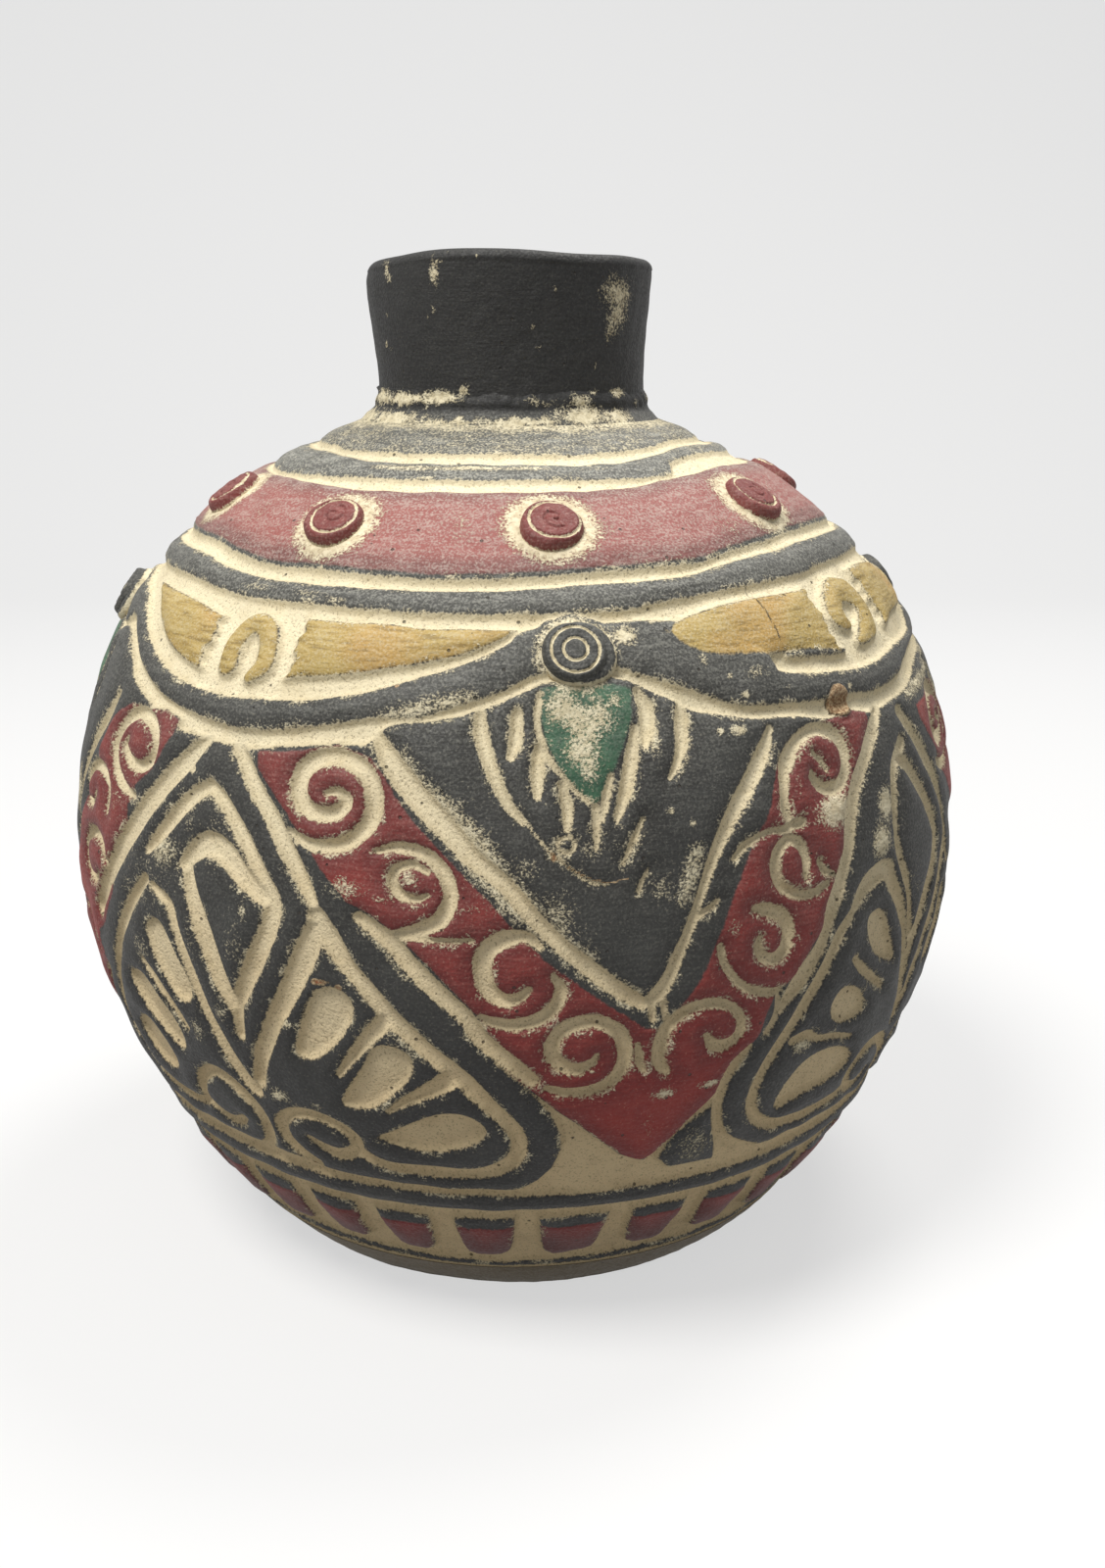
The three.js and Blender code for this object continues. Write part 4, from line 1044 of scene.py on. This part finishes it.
def rings_piece(name, profile, columns, shape, nodes, layers):
    """A closed solid of rings: profile lists (radius, height), shape moves the points."""
    turn = np.radians(turns_round(columns))
    radii, heights = np.array(profile, float).T
    points = shape(ring_points(radii, heights, turn), np.degrees(turn))
    quads = grid_faces(len(profile) + 1, columns)
    quads = quads % (len(profile) * columns)
    counts = np.full(len(quads), 4, np.int32)
    corners = quads.ravel().astype(np.int32)
    values = layers(points, np.degrees(turn))
    mesh = build(name, points.reshape(-1, 3), counts, corners, values)
    finish_piece(name, mesh, nodes)


def off_axis(points):
    """How far points stand off the leaning axis, in mm."""
    return np.hypot(points[..., 0] - lean(points[..., 2]), points[..., 1])


def push_out(points, amount):
    """Moves points away from the vase's axis, in mm."""
    x = points[..., 0] - lean(points[..., 2])
    radius = np.hypot(x, points[..., 1]) + 1e-6
    points = points.copy()
    points[..., 0] += x / radius * amount
    points[..., 1] += points[..., 1] / radius * amount
    return points


def make_foot():
    """The turned foot: bare clay, its edge worn round and its underside a little hollow."""
    outer = [(r, z) for r, z in zip(OUTLINE[1], OUTLINE[2]) if z < seam_height - 0.2]
    seam_radius = float(np.interp(seam_height, OUTLINE[2], OUTLINE[1]))
    outer = outer[6::3] + [(seam_radius, seam_height)]
    profile = [(r, z + 0.9 * np.exp(-z / 1.2)) for r, z in outer]
    inside = seam_radius - 0.4
    flat = [inside, *np.linspace(inside - 4, 2, 12), 0.05]
    profile += [(r, seam_height) for r in flat]
    profile += [(r, HOLLOW_DEPTH) for r in (0.05, *np.linspace(3, 48, 14))]
    profile += [(51, 0.8), (53, 0.25), (55, 0), (57, 0), (59, 0.12), (60.2, 0.5)]

    def shape(points, azimuth):
        grown = hand_waves(points, 0.25, 26.0, 21) + hand_waves(points, 0.06, 4.0, 22)
        share = smoothstep(0, 2, seam_height - points[..., 2])
        outside = off_axis(points) > HOLLOW_RADIUS
        return push_out(points, grown * share * outside)

    def layers(points, azimuth):
        z = points[..., 2]
        return {"bare": 10 - 0 * z, "dust": 0.25 + 0 * z}

    rings_piece("turned_foot", profile, FOOT_COLUMNS, shape, ["base_disc"], layers)


# Neck

NECK_COLUMNS = 720
NECK_FOOT_RADIUS = 29.6
NECK_RIM_RADIUS = 31.0
LIP_OUTSIDE = 1.9
LIP_INSIDE = 2.2
# The side where the neck is pressed in and its rim is low, and how far, in mm
WORN_SIDE = -80
PRESSED_IN = 1.1
# Cream left on the neck: azimuth, height in mm above the ground, width, height, strength
NECK_MARKS = [(-27.4, 209.4, 1.5, 3.4, 0.78), (-26, 211.4, 1.6, 1.2, 0.66),
    (-54.6, 210.4, 1.5, 2.2, 0.76), (-52.5, 208.6, 1.3, 1.3, 0.66), (-57.5, 211.8, 1.6, 0.8, 0.6),
    (-28.5, 202.2, 0.8, 1, 0.62), (-31, 200.8, 0.6, 0.7, 0.6), (-58.5, 195.4, 0.9, 1, 0.72),
    (-55, 194.6, 1.4, 0.5, 0.55), (11, 198.9, 0.6, 0.7, 0.72), (19.5, 206.2, 0.7, 0.8, 0.62),
    (13, 194.8, 1.2, 0.6, 0.5), (38, 191.4, 0.4, 1.4, 0.62), (-10, 212.4, 0.5, 0.8, 0.66),
    (-56, 201.5, 1, 1, 0.5), (48.5, 205.6, 6.4, 4.4, 0.72), (49, 201.6, 5, 4.4, 0.7),
    (45.5, 199, 2.6, 3.6, 0.66), (43.5, 197, 0.7, 2.4, 0.6), (120, 203, 3, 3, 0.5),
    (165, 196, 2.4, 5, 0.5), (215, 207, 4, 1.6, 0.55)]
# Where cream reaches round the neck's foot: azimuth, height, width, height, strength
SEAM_MARKS = [(-66, 184.8, 8, 2, 0.95), (-46, 184.6, 9, 1.7, 0.95), (-28, 185, 7, 1.9, 0.92),
    (-17, 186.4, 1.6, 1.6, 0.8), (-84, 184.2, 6, 2, 0.85), (12, 184.2, 5, 0.9, 0.6),
    (30, 184.4, 3.4, 1.8, 0.78), (37, 185.8, 1.6, 1, 0.75), (50, 185.8, 3.2, 1.3, 0.85),
    (64, 183.6, 2, 1, 0.6), (-74, 180.8, 12, 1.8, 0.95), (-48, 180.4, 11, 2, 0.95),
    (-20, 180.2, 11, 1.2, 0.85), (6, 180.2, 12, 1.3, 0.9), (31, 181.4, 8, 2.6, 0.9),
    (46, 181, 7, 2, 0.85), (95, 184.6, 12, 1.9, 0.9), (150, 180.6, 16, 2, 0.9),
    (200, 184.8, 12, 1.8, 0.85), (235, 180.8, 14, 2, 0.9), (262, 184.6, 8, 1.8, 0.85)]


# The luting's ridge up the neck, and its hidden side: radius and height
LUTING_RIDGE = [
    (31.6, 181.2), (31, 181.7), (30.6, 182.3), (30.35, 182.9), (30.35, 183.5), (30.4, 184.1),
    (30.25, 184.7), (29.95, 185.3), (29.65, 185.9), (29.3, 186.5), (28.9, 186.8),
]
LUTING_BACK = [(29, 184), (29.2, 181), (31, 180), (32.6, 179)]


def cream_marks(dust, points, azimuth, marks):
    """Adds soft patches of cream to the dust of a piece round the neck."""
    for mark, level, width, height, strength in marks:
        off = turned_off(azimuth, mark)[None, :] * NECK_RIM_RADIUS * np.pi / 180
        soft = np.exp(-((off / width) ** 2) - ((points[..., 2] - level) / height) ** 2)
        dust = np.maximum(dust, strength * soft)
    return dust


def neck_waves(points):
    """How unevenly the thrown wall stands out from its circle, in mm."""
    return hand_waves(points, 0.28, 28.0, 31)


def make_neck():
    """The thrown neck with its rounded rim, worn at the left, and black inside the lip."""
    heights = np.arange(shoulder_height, rim_height - 2.2, 0.45)
    share = (heights - shoulder_height) / (rim_height - shoulder_height)
    radii = NECK_FOOT_RADIUS + (NECK_RIM_RADIUS - NECK_FOOT_RADIUS) * share**1.6
    outer = list(zip(radii, heights))
    across = NECK_RIM_RADIUS - MOUTH_RADIUS
    for turn in np.radians(np.arange(0, 91, 9)):
        radius = NECK_RIM_RADIUS - LIP_OUTSIDE + LIP_OUTSIDE * np.cos(turn)
        outer.append((radius, rim_height - 2.1 + LIP_OUTSIDE * np.sin(turn)))
    for part in (0.45, 0.62):
        outer.append((NECK_RIM_RADIUS - across * part, rim_height - 0.2))
    for turn in np.radians(np.arange(90, 181, 15)):
        radius = MOUTH_RADIUS + LIP_INSIDE + LIP_INSIDE * np.cos(turn)
        outer.append((radius, rim_height - 2.5 + 2.3 * np.sin(turn)))
    inner = np.linspace(rim_height - 4, shoulder_height, 24)
    profile = outer + [(MOUTH_RADIUS, z) for z in inner]

    def shape(points, azimuth):
        high = smoothstep(shoulder_height + 2, rim_height, points[..., 2])
        outside = off_axis(points) > MOUTH_RADIUS + 2
        grown = neck_waves(points) + hand_waves(points, 0.05, 4.5, 32)
        left = np.abs(turned_off(azimuth, WORN_SIDE))
        z = points[..., 2]
        grown -= PRESSED_IN * np.exp(-((left / 40) ** 2)) * smoothstep(206, 186, z)
        grown -= PRESSED_IN * np.exp(-((left / 34) ** 2)) * smoothstep(208.5, 213.5, z)
        points = push_out(points, grown * outside)
        turn = np.radians(azimuth)
        dip = 0.1 * np.sin(2 * turn + 0.6) + 0.1 * np.sin(5 * turn + 2.1)
        dip += 0.06 * np.sin(9 * turn) - 0.3
        dip += 0.9 * np.exp(-(((azimuth + 18) / 34) ** 2)) - 0.5 * np.exp(-((left / 24) ** 2))
        points[..., 2] += dip * high
        return points

    def layers(points, azimuth):
        z = points[..., 2]
        dust = cream_marks(PLAIN_DUST + 0 * z, points, azimuth, NECK_MARKS + SEAM_MARKS)
        dust = np.maximum(dust, 0.2 * smoothstep(rim_height - 1.6, rim_height - 0.4, z))
        inside = off_axis(points) < MOUTH_RADIUS + 1
        return {
            "dust": dust,
            "bare": np.where(inside, np.minimum(rim_height - 5 - z, 4), ABSENT),
            "film": PLAIN_FILM + 0 * z,
            "cream": WELL_PROUD + 0 * z,
        }

    rings_piece(
        "thrown_neck", profile, NECK_COLUMNS, shape, ["neck_collar"], layers
    )


def make_luting():
    """The clay pressed round the neck's foot: a hollow fillet with a low, uneven ridge."""
    down = np.array([3.0, 2.2, 1.5])
    radii, levels = radius_at(WALL_LENGTH - down), height_at(WALL_LENGTH - down)
    rise = [-1.0, -0.1, 0.25]
    profile = [(float(r), float(z + k)) for r, z, k in zip(radii, levels, rise)]
    profile += LUTING_RIDGE + LUTING_BACK

    def shape(points, azimuth):
        shown = off_axis(points) > NECK_FOOT_RADIUS
        high = smoothstep(181, 184, points[..., 2])
        grown = hand_waves(points, 0.18, 9.0, 41) + hand_waves(points, 0.12, 2.6, 42)
        grown = grown + neck_waves(points)
        left = np.abs(turned_off(azimuth, WORN_SIDE))
        grown -= 1.0 * np.exp(-((left / 40) ** 2))
        points = push_out(points, grown * shown * high)
        points[..., 2] += hand_waves(points * (1, 1, 0.1), 0.35, 12.0, 43) * shown * high
        return points

    def layers(points, azimuth):
        ragged = points + (0, 0, 1) * hand_waves(points, 0.5, 3.0, 44)[..., None]
        dust = cream_marks(PLAIN_DUST + 0 * points[..., 2], ragged, azimuth, SEAM_MARKS)
        film = PLAIN_FILM + 0.2 * smoothstep(183, 181, points[..., 2])
        return {"dust": dust, "film": film, "cream": WELL_PROUD + 0 * dust}

    rings_piece(
        "luting_fillet", profile, NECK_COLUMNS, shape, ["neck_luting_coil"], layers
    )


# Pressed pieces

PRESSED_RINGS = np.concatenate([np.linspace(0.06, 6.4, 30), np.linspace(6.6, 7.6, 9)]) / 7.2
PRESSED_COLUMNS = 120
STAMP_DEPTH = 0.75


def pressed_piece(
    name, azimuth, down, radius, height, marks, layers, node, seed, aside=0.0, floor=0.0
):
    """A clay pellet pressed onto the wall, with what marks gives stamped in it."""
    chance = np.random.default_rng(seed)
    alpha = np.arange(PRESSED_COLUMNS) * 2 * np.pi / PRESSED_COLUMNS
    share = PRESSED_RINGS[:, None] * np.ones_like(alpha)
    uneven = 1 + 0.03 * np.sin(2 * alpha + chance.uniform(0, 6))
    uneven = uneven + 0.02 * np.sin(3 * alpha + chance.uniform(0, 6))
    rho = share * radius * np.where(share > 0.5, 1 + (uneven - 1) * (share - 0.5) * 2, 1)
    x, y = rho * np.cos(alpha), rho * np.sin(alpha)
    edge = np.clip((share - 0.80) / 0.25, 0, 1)
    domed = (1 - np.cos(np.pi * np.clip(share / 0.8, 0, 1))) / 2
    lift = floor + height * (1 - 0.10 * domed)
    lift = lift - (lift + 0.9) * (1 - np.sqrt(np.clip(1 - edge**2.2, 0, 1)))
    lift += 0.25 * (x * chance.uniform(-1, 1) + y * chance.uniform(-1, 1)) / radius * (1 - edge)
    groove = marks(x, y, chance)
    lift -= STAMP_DEPTH * smoothstep(-0.35, 0.45, groove) * (1 - edge)
    place = np.stack([x, y, 0 * x + seed * 9.0], -1)
    lift += hand_waves(place, 0.07, 2.6, seed) * (1 - edge)
    centre = WALL_LENGTH - down
    scale = radius_at(centre) * np.pi / 180
    around = azimuth + (x + aside) / scale
    points = on_wall(around, centre + y, lift)
    quads = grid_faces(len(PRESSED_RINGS), PRESSED_COLUMNS)[:, ::-1]
    first = np.arange(PRESSED_COLUMNS)
    last = first + (len(PRESSED_RINGS) - 1) * PRESSED_COLUMNS
    counts = np.append(np.full(len(quads), 4), [PRESSED_COLUMNS] * 2).astype(np.int32)
    corners = np.concatenate([quads.ravel(), first, last[::-1]]).astype(np.int32)
    mesh = build(name, points.reshape(-1, 3), counts, corners, layers(x, y, groove, edge))
    finish_piece(name, mesh, [node])


def ring_mark(x, y, radius, width):
    return width / 2 - np.abs(np.hypot(x, y) - radius)


def curl_mark(x, y, start, turns, inner, outer, width):
    """mm inside a spiral groove from its inner to its outer radius."""
    best = np.full(x.shape, -9.0)
    for t in np.linspace(0, 1, 60):
        angle, radius = start + turns * 2 * np.pi * t, inner + (outer - inner) * t
        far = np.hypot(x - radius * np.cos(angle), y - radius * np.sin(angle))
        best = np.maximum(best, width / 2 - far)
    return best


def boss_marks(x, y, chance):
    """One ring and a curl, set a little off the middle."""
    x, y = x - chance.uniform(0.2, 0.7), y - chance.uniform(0.2, 0.7)
    radius = 4.6 + chance.uniform(-0.2, 0.2)
    curl = curl_mark(x, y, chance.uniform(0, 6.3), 1.1, 0.4, 2.6, 0.5)
    return np.maximum(ring_mark(x, y, radius, 0.5), curl - 0.12)


def boss_layers(x, y, groove, edge):
    ringed = smoothstep(-0.25, 0.1, groove) * (np.hypot(x, y) > 3.4)
    dust = 0.12 + 0.7 * ringed + 0.75 * smoothstep(0.8, 1.0, edge)
    return {"red": 6 + 0 * x, "dust": dust, "film": 0.1 + 0 * x, "cream": -1.6 + 0 * x}


def medallion_marks(x, y, chance):
    """Two rings."""
    return np.maximum(ring_mark(x, y, 2.1, 0.4), ring_mark(x, y, 4.2, 0.4))


def medallion_layers(x, y, groove, edge):
    dust = 0.07 + 0.85 * smoothstep(-0.25, 0.05, groove) + 0.1 * smoothstep(0.5, 1, edge)
    return {"dust": dust, "film": 0.1 + 0 * x}


def plain_marks(x, y, chance):
    return np.full(x.shape, -9.0)


def back_layers(x, y, groove, edge):
    return {"dust": 0.1 + 0.8 * smoothstep(0.3, 0.9, edge), "film": 0.1 + 0 * x}


def make_pressed():
    for i, (azimuth, down) in enumerate(BOSS_PLACES, 1):
        pressed_piece(
            f"red_boss_{i}", azimuth, down, BOSS_RADIUS, 2.6, boss_marks, boss_layers,
            f"shoulder_boss_{i}", 50 + i,
        )
    for i, azimuth in enumerate(MEDALLION_AZIMUTHS, 1):
        pressed_piece(
            f"medallion_pad_{i}", azimuth, MEDALLION_DROP, MEDALLION_BACK_RADIUS, 1.3,
            plain_marks, back_layers, f"medallion_back_{i}", 70 + i, 0.7,
        )
        pressed_piece(
            f"medallion_face_{i}", azimuth, MEDALLION_DROP, MEDALLION_BUTTON_RADIUS, 1.5,
            medallion_marks, medallion_layers, f"medallion_button_{i}",
            80 + i, -0.4, 1.1,
        )


make_foot()
make_neck()
make_luting()
make_pressed()


# Slips and clay

def colour(red, green, blue):
    """A colour written as on screen, 0 to 255, turned to the shader's linear scale."""
    c = np.array([red, green, blue]) / 255
    c = np.where(c <= 0.04045, c / 12.92, ((c + 0.055) / 1.055) ** 2.4)
    return (*c, 1.0)


class Tree:
    """Short names for the nodes and links of a material or a world."""

    def __init__(self, owner):
        owner.use_nodes = True
        self.owner = owner
        self.nodes, self.links = owner.node_tree.nodes, owner.node_tree.links
        self.nodes.clear()

    def node(self, kind, inputs=(), output=0, **settings):
        made = self.nodes.new("ShaderNode" + kind)
        for key, value in settings.items():
            setattr(made, key, value)
        for key, value in dict(inputs).items():
            self.plug(made.inputs[key], value)
        return made.outputs[output] if made.outputs else made

    def plug(self, socket, value):
        if isinstance(value, bpy.types.NodeSocket):
            self.links.new(value, socket)
        else:
            socket.default_value = value

    def math(self, operation, a, b):
        return self.node("Math", {0: a, 1: b}, operation=operation)

    def add(self, a, b):
        return self.math("ADD", a, b)

    def less(self, a, b):
        return self.math("SUBTRACT", a, b)

    def times(self, a, b):
        return self.math("MULTIPLY", a, b)

    def most(self, a, b):
        return self.math("MAXIMUM", a, b)

    def ramp(self, value, low, high, to_high=1.0, to_low=0.0):
        """A smooth step of a value from low to high."""
        ends = {"From Min": low, "From Max": high, "To Min": to_low, "To Max": to_high}
        return self.node("MapRange", {"Value": value, **ends}, interpolation_type="SMOOTHSTEP")

    def spread(self, value, size):
        """A noise about 0 to 1, turned to one about 0, size wide."""
        return self.times(self.less(value, 0.5), size)

    def mix(self, share, a, b):
        return self.node("Mix", {0: share, 6: a, 7: b}, output=2, data_type="RGBA")

    def coats(self, base, *coats):
        """Colours laid over a base, each with its share."""
        for share, tint in coats:
            base = self.mix(share, base, colour(*tint))
        return base

    def blend(self, share, a, b):
        return self.node("Mix", {0: share, 2: a, 3: b}, output=0, data_type="FLOAT")

    def noise(self, place, size, detail=2.0, rough=0.6):
        """Noise about 0 to 1 with bumps about so many mm across."""
        about = {"Vector": place, "Scale": 1 / size, "Detail": detail, "Roughness": rough}
        return self.node("TexNoise", about)

    def layer(self, name):
        return self.node("Attribute", output=2, attribute_name=name)


def painted_clay(name):
    """Slip paints over clay, each where its layer says, with grains along their edges."""
    t = Tree(bpy.data.materials.new(name))
    place = t.node("VectorMath", {0: t.node("TexCoord", output=3), 3: 1 / MM}, operation="SCALE")
    strokes = t.node("VectorMath", {0: place, 1: (0.12, 0.12, 1.0)}, operation="MULTIPLY")
    level = t.node("SeparateXYZ", {0: place}, output=2)
    broad = t.noise(place, 22.0, rough=0.5)
    patchy = t.noise(place, 5.0, detail=3.0)
    ragged = t.noise(place, 1.3)
    grain = t.noise(place, 0.48)
    leather = t.noise(place, 0.6, detail=1.0, rough=0.5)
    brushed = t.noise(strokes, 0.7)
    sand = t.node("TexVoronoi", {"Vector": place, "Scale": 2.4}, feature="F1")
    pits = t.node("TexVoronoi", {"Vector": place, "Scale": 0.22}, feature="F1")
    wander = t.add(t.spread(ragged, 1.3), t.spread(grain, 1.5))

    def inside(layer, soft=0.2, much=1.0):
        return t.ramp(t.add(t.layer(layer), t.times(wander, much)), -soft, soft)

    # Raised slip is darker along its cut edges, as painted shade where it rolls into the
    # cuts, and paler on its broad tops, partly worn and partly painted sheen
    proud = t.times(t.layer("cream"), -1.0)
    edge_shade_and_rub = t.ramp(t.add(proud, t.spread(patchy, 4.0)), 0.3, 6.0)
    charcoal = t.coats(
        t.mix(edge_shade_and_rub, colour(27, 26, 25), colour(42, 42, 41)),
        (t.ramp(broad, 0.4, 0.7, 0.5), (54, 54, 52)),
        (t.ramp(brushed, 0.5, 0.8, 0.12), (84, 84, 80)),
        (t.ramp(grain, 0.56, 0.74, 0.35), (104, 101, 92)),
    )
    red = t.coats(
        t.mix(edge_shade_and_rub, colour(100, 30, 28), colour(134, 48, 43)),
        (t.ramp(brushed, 0.45, 0.75, 0.3), (154, 74, 66)),
        (t.ramp(patchy, 0.5, 0.75, 0.5), (112, 36, 36)),
        (t.ramp(grain, 0.6, 0.76, 0.5), (190, 128, 112)),
    )
    ochre = t.coats(
        t.mix(t.ramp(brushed, 0.25, 0.75), colour(156, 128, 56), colour(184, 158, 86)),
        (t.ramp(broad, 0.5, 0.7, 0.45), (188, 136, 56)),
        (t.ramp(brushed, 0.46, 0.3, 0.5), (110, 92, 44)),
        (t.ramp(grain, 0.56, 0.72, 0.5), (204, 184, 132)),
        (t.ramp(grain, 0.42, 0.28, 0.4), (112, 88, 46)),
    )
    green = t.mix(t.ramp(patchy, 0.35, 0.7), colour(36, 76, 54), colour(60, 102, 74))
    bare = t.coats(
        t.mix(t.ramp(patchy, 0.3, 0.7), colour(134, 116, 86), colour(160, 142, 110)),
        (t.ramp(brushed, 0.5, 0.75, 0.5), (108, 90, 66)),
    )

    # Painted shade darkens the wall towards the foot, and the neck is black all over
    foot_shade = t.ramp(t.add(level, t.spread(patchy, 6.0)), 34.0, 16.0)
    red = t.coats(red, (t.times(foot_shade, 0.9), (54, 20, 17)))
    bare = t.coats(bare, (t.times(foot_shade, 0.9), (74, 64, 45)))
    black = t.most(t.times(foot_shade, 0.7), t.ramp(level, 179.0, 183.0, 0.6))
    charcoal = t.coats(charcoal, (black, (18, 18, 20)))

    # Cream is paler high up and darker low down, as painted light and shade, darker along
    # the edges of its cuts and in narrow cuts, as painted shade, and gritty throughout
    sunk = t.ramp(t.add(t.layer("cream"), t.spread(ragged, 1.6)), 0.1, 1.5)
    painted_height_light = t.ramp(t.add(level, t.spread(broad, 60.0)), 30.0, 150.0)
    cream = t.mix(painted_height_light, colour(214, 192, 152), colour(230, 218, 186))
    # Painted shade along the cut walls and in narrow cuts
    cream = t.coats(cream, (t.times(t.less(1.0, sunk), 0.35), (150, 136, 104)))
    stained = t.mix(painted_height_light, colour(186, 164, 128), colour(208, 193, 156))
    cream = t.coats(
        t.mix(t.ramp(patchy, 0.45, 0.75, 0.5), cream, stained),
        (t.ramp(grain, 0.46, 0.3, 0.6), (124, 111, 86)),
        (t.ramp(sand, 0.22, 0.04, 0.4), (96, 86, 68)),
    )

    painted = t.mix(inside("red", 0.25, 0.5), charcoal, red)
    painted = t.mix(inside("ochre", 0.4, 0.9), painted, ochre)
    painted = t.mix(inside("green", 0.35, 0.7), painted, green)
    veil = t.ramp(t.add(t.spread(brushed, 0.4), grain), 0.4, 0.66, 1.3, 0.35)
    # A pale veil over the paint, partly a real film and partly painted haze of light
    painted = t.coats(painted, (t.times(t.layer("film"), veil), (194, 193, 182)))

    # Dust: grains show where its share is high, most of all along the cuts
    spilt = t.times(t.ramp(proud, 2.4, 0.0, 0.56), t.ramp(patchy, 0.36, 0.62, 1.0, 0.3))
    share = t.most(t.layer("dust"), spilt)
    speck = t.add(t.times(grain, 0.6), t.times(ragged, 0.2))
    speck = t.add(speck, t.times(patchy, 0.2))
    dusty = t.ramp(t.add(speck, t.times(share, 0.5)), 0.7, 0.88, 0.92)
    in_cut = inside("cream", 0.2, 0.65)
    pale = t.most(in_cut, dusty)
    powder = t.mix(t.ramp(ragged, 0.35, 0.65), colour(204, 191, 158), colour(230, 219, 188))
    shown = t.mix(in_cut, t.mix(dusty, painted, powder), cream)
    shown = t.mix(inside("bare", 0.4, 0.8), shown, bare)

    # Chips show the clay below; the crack and pits are dark, and so is the ring round the
    # pebble, partly as painted shade
    chipped = t.ramp(t.add(t.layer("chip"), t.spread(ragged, 0.8)), 0.45, 0.6)
    clay = t.coats(
        t.mix(t.ramp(t.layer("chip"), 0.75, 0.95), colour(122, 98, 70), colour(150, 88, 52)),
        (t.ramp(grain, 0.4, 0.6, 0.75), (196, 172, 136)),
    )
    shown = t.mix(chipped, shown, clay)
    cracked = t.ramp(t.add(t.layer("crack"), t.times(wander, 0.3)), -0.15, 0.15)
    hollow = t.most(cracked, t.ramp(pits, 0.085, 0.05))
    shown = t.coats(shown, (t.times(hollow, 0.75), (48, 43, 35)))

    rough = t.blend(pale, t.ramp(leather, 0.3, 0.7, 0.74, 0.58), 0.95)
    height = t.times(grain, t.blend(pale, 0.05, 0.16))
    # The bump of each noise, in mm, on paint and on cream
    for noise, on_paint, on_cream in (
        (leather, 0.16, 0.14), (ragged, 0.05, 0.2), (brushed, 0.10, 0.03),
    ):
        height = t.add(height, t.times(noise, t.blend(pale, on_paint, on_cream)))
    height = t.add(height, t.times(pale, 0.08))
    height = t.less(height, t.times(hollow, 0.35))
    bump = t.node("Bump", {"Height": height, "Distance": MM, "Strength": 1.0})
    about = {"Base Color": shown, "Roughness": rough, "Normal": bump, "Specular IOR Level": 0.4}
    t.node("OutputMaterial", {"Surface": t.node("BsdfPrincipled", about)})
    return t.owner


slip = painted_clay("painted_clay")
for piece in list(bpy.data.objects):
    if piece.type == "MESH" and piece.data.attributes.get("cream"):
        piece.data.materials.append(slip)


# Floor, backdrop and light

FLOOR_DEPTHS = (-2.5, -1.0, 0.0, 0.9)
SWEEP_RADIUS = 0.7
BACKDROP_TOP = 3.2
HALF_WIDTH = 3.0
WHITE = (1, 1, 1, 1)
PAPER = (0.28, 0.28, 0.28, 1)
PAPER_SEEN = (0.3, 0.3, 0.3, 1)
PAPER_GLOW = 0.6
SKY = (0.96, 0.98, 1.0, 1)
SKY_STRENGTH = 0.36
BACKDROP_STRENGTH = 0.78
# Name, place, target, size in metres, watts and tint
LAMPS = [
    ("key", (-0.45, -0.5, 1.25), (0, 0, 0.1), 0.5, 17, (1.0, 0.98, 0.94)),
    ("top", (0.35, 0.3, 1.2), (0, 0, 0.14), 0.5, 9, (1.0, 0.98, 0.95)),
]


def direct_rays(t):
    """1 for what the camera sees by itself, in a glossy surface or through a clear one."""
    rays = t.node("LightPath").node.outputs
    seen = t.most(rays["Is Camera Ray"], rays["Is Glossy Ray"])
    return t.most(seen, rays["Is Transmission Ray"])


def make_sweep():
    """A pale floor that curves up into the backdrop, in metres."""
    profile = [(y, 0.0) for y in FLOOR_DEPTHS]
    for a in np.radians(np.arange(6, 91, 6)):
        y = FLOOR_DEPTHS[-1] + SWEEP_RADIUS * np.sin(a)
        profile.append((y, SWEEP_RADIUS * (1 - np.cos(a))))
    profile.append((FLOOR_DEPTHS[-1] + SWEEP_RADIUS, BACKDROP_TOP))
    points = [(x, y, z) for y, z in profile for x in (-HALF_WIDTH, HALF_WIDTH)]
    faces = [(2 * i, 2 * i + 1, 2 * i + 3, 2 * i + 2) for i in range(len(profile) - 1)]
    mesh = bpy.data.meshes.new("sweep")
    mesh.from_pydata([tuple(map(float, p)) for p in points], [], faces)
    for face in mesh.polygons:
        face.use_smooth = True
    sweep = bpy.data.objects.new("sweep", mesh)
    bpy.context.scene.collection.objects.link(sweep)
    t = Tree(bpy.data.materials.new("pale_paper"))
    paper = t.node("BsdfDiffuse", {"Color": PAPER})
    shown = t.node("BsdfDiffuse", {"Color": PAPER_SEEN})
    glow = t.node("Emission", {"Color": WHITE, "Strength": PAPER_GLOW})
    seen = t.node("AddShader", {0: shown, 1: glow})
    shader = t.node("MixShader", {0: direct_rays(t), 1: paper, 2: seen})
    t.node("OutputMaterial", {"Surface": shader})
    mesh.materials.append(t.owner)


def add_lamp(name, place, target, size, watts, tint):
    data = bpy.data.lights.new(name, "AREA")
    data.shape = "DISK"
    data.size = size
    data.energy = watts
    data.color = tint
    lamp = bpy.data.objects.new(name, data)
    lamp.location = place
    lamp.rotation_euler = (Vector(target) - Vector(place)).to_track_quat("-Z", "Y").to_euler()
    bpy.context.scene.collection.objects.link(lamp)


def set_world():
    """A dim sky that lights the vase, with a pale one behind for what the camera sees."""
    world = bpy.data.worlds.new("studio")
    bpy.context.scene.world = world
    t = Tree(world)
    sky = t.node("Background", {"Color": SKY, "Strength": SKY_STRENGTH})
    pale = t.node("Background", {"Color": WHITE, "Strength": BACKDROP_STRENGTH})
    shown = t.node("MixShader", {0: direct_rays(t), 1: sky, 2: pale})
    t.node("OutputWorld", {"Surface": shown})


make_sweep()
for lamp in LAMPS:
    add_lamp(*lamp)
set_world()
bpy.context.scene.view_settings.view_transform = "Standard"
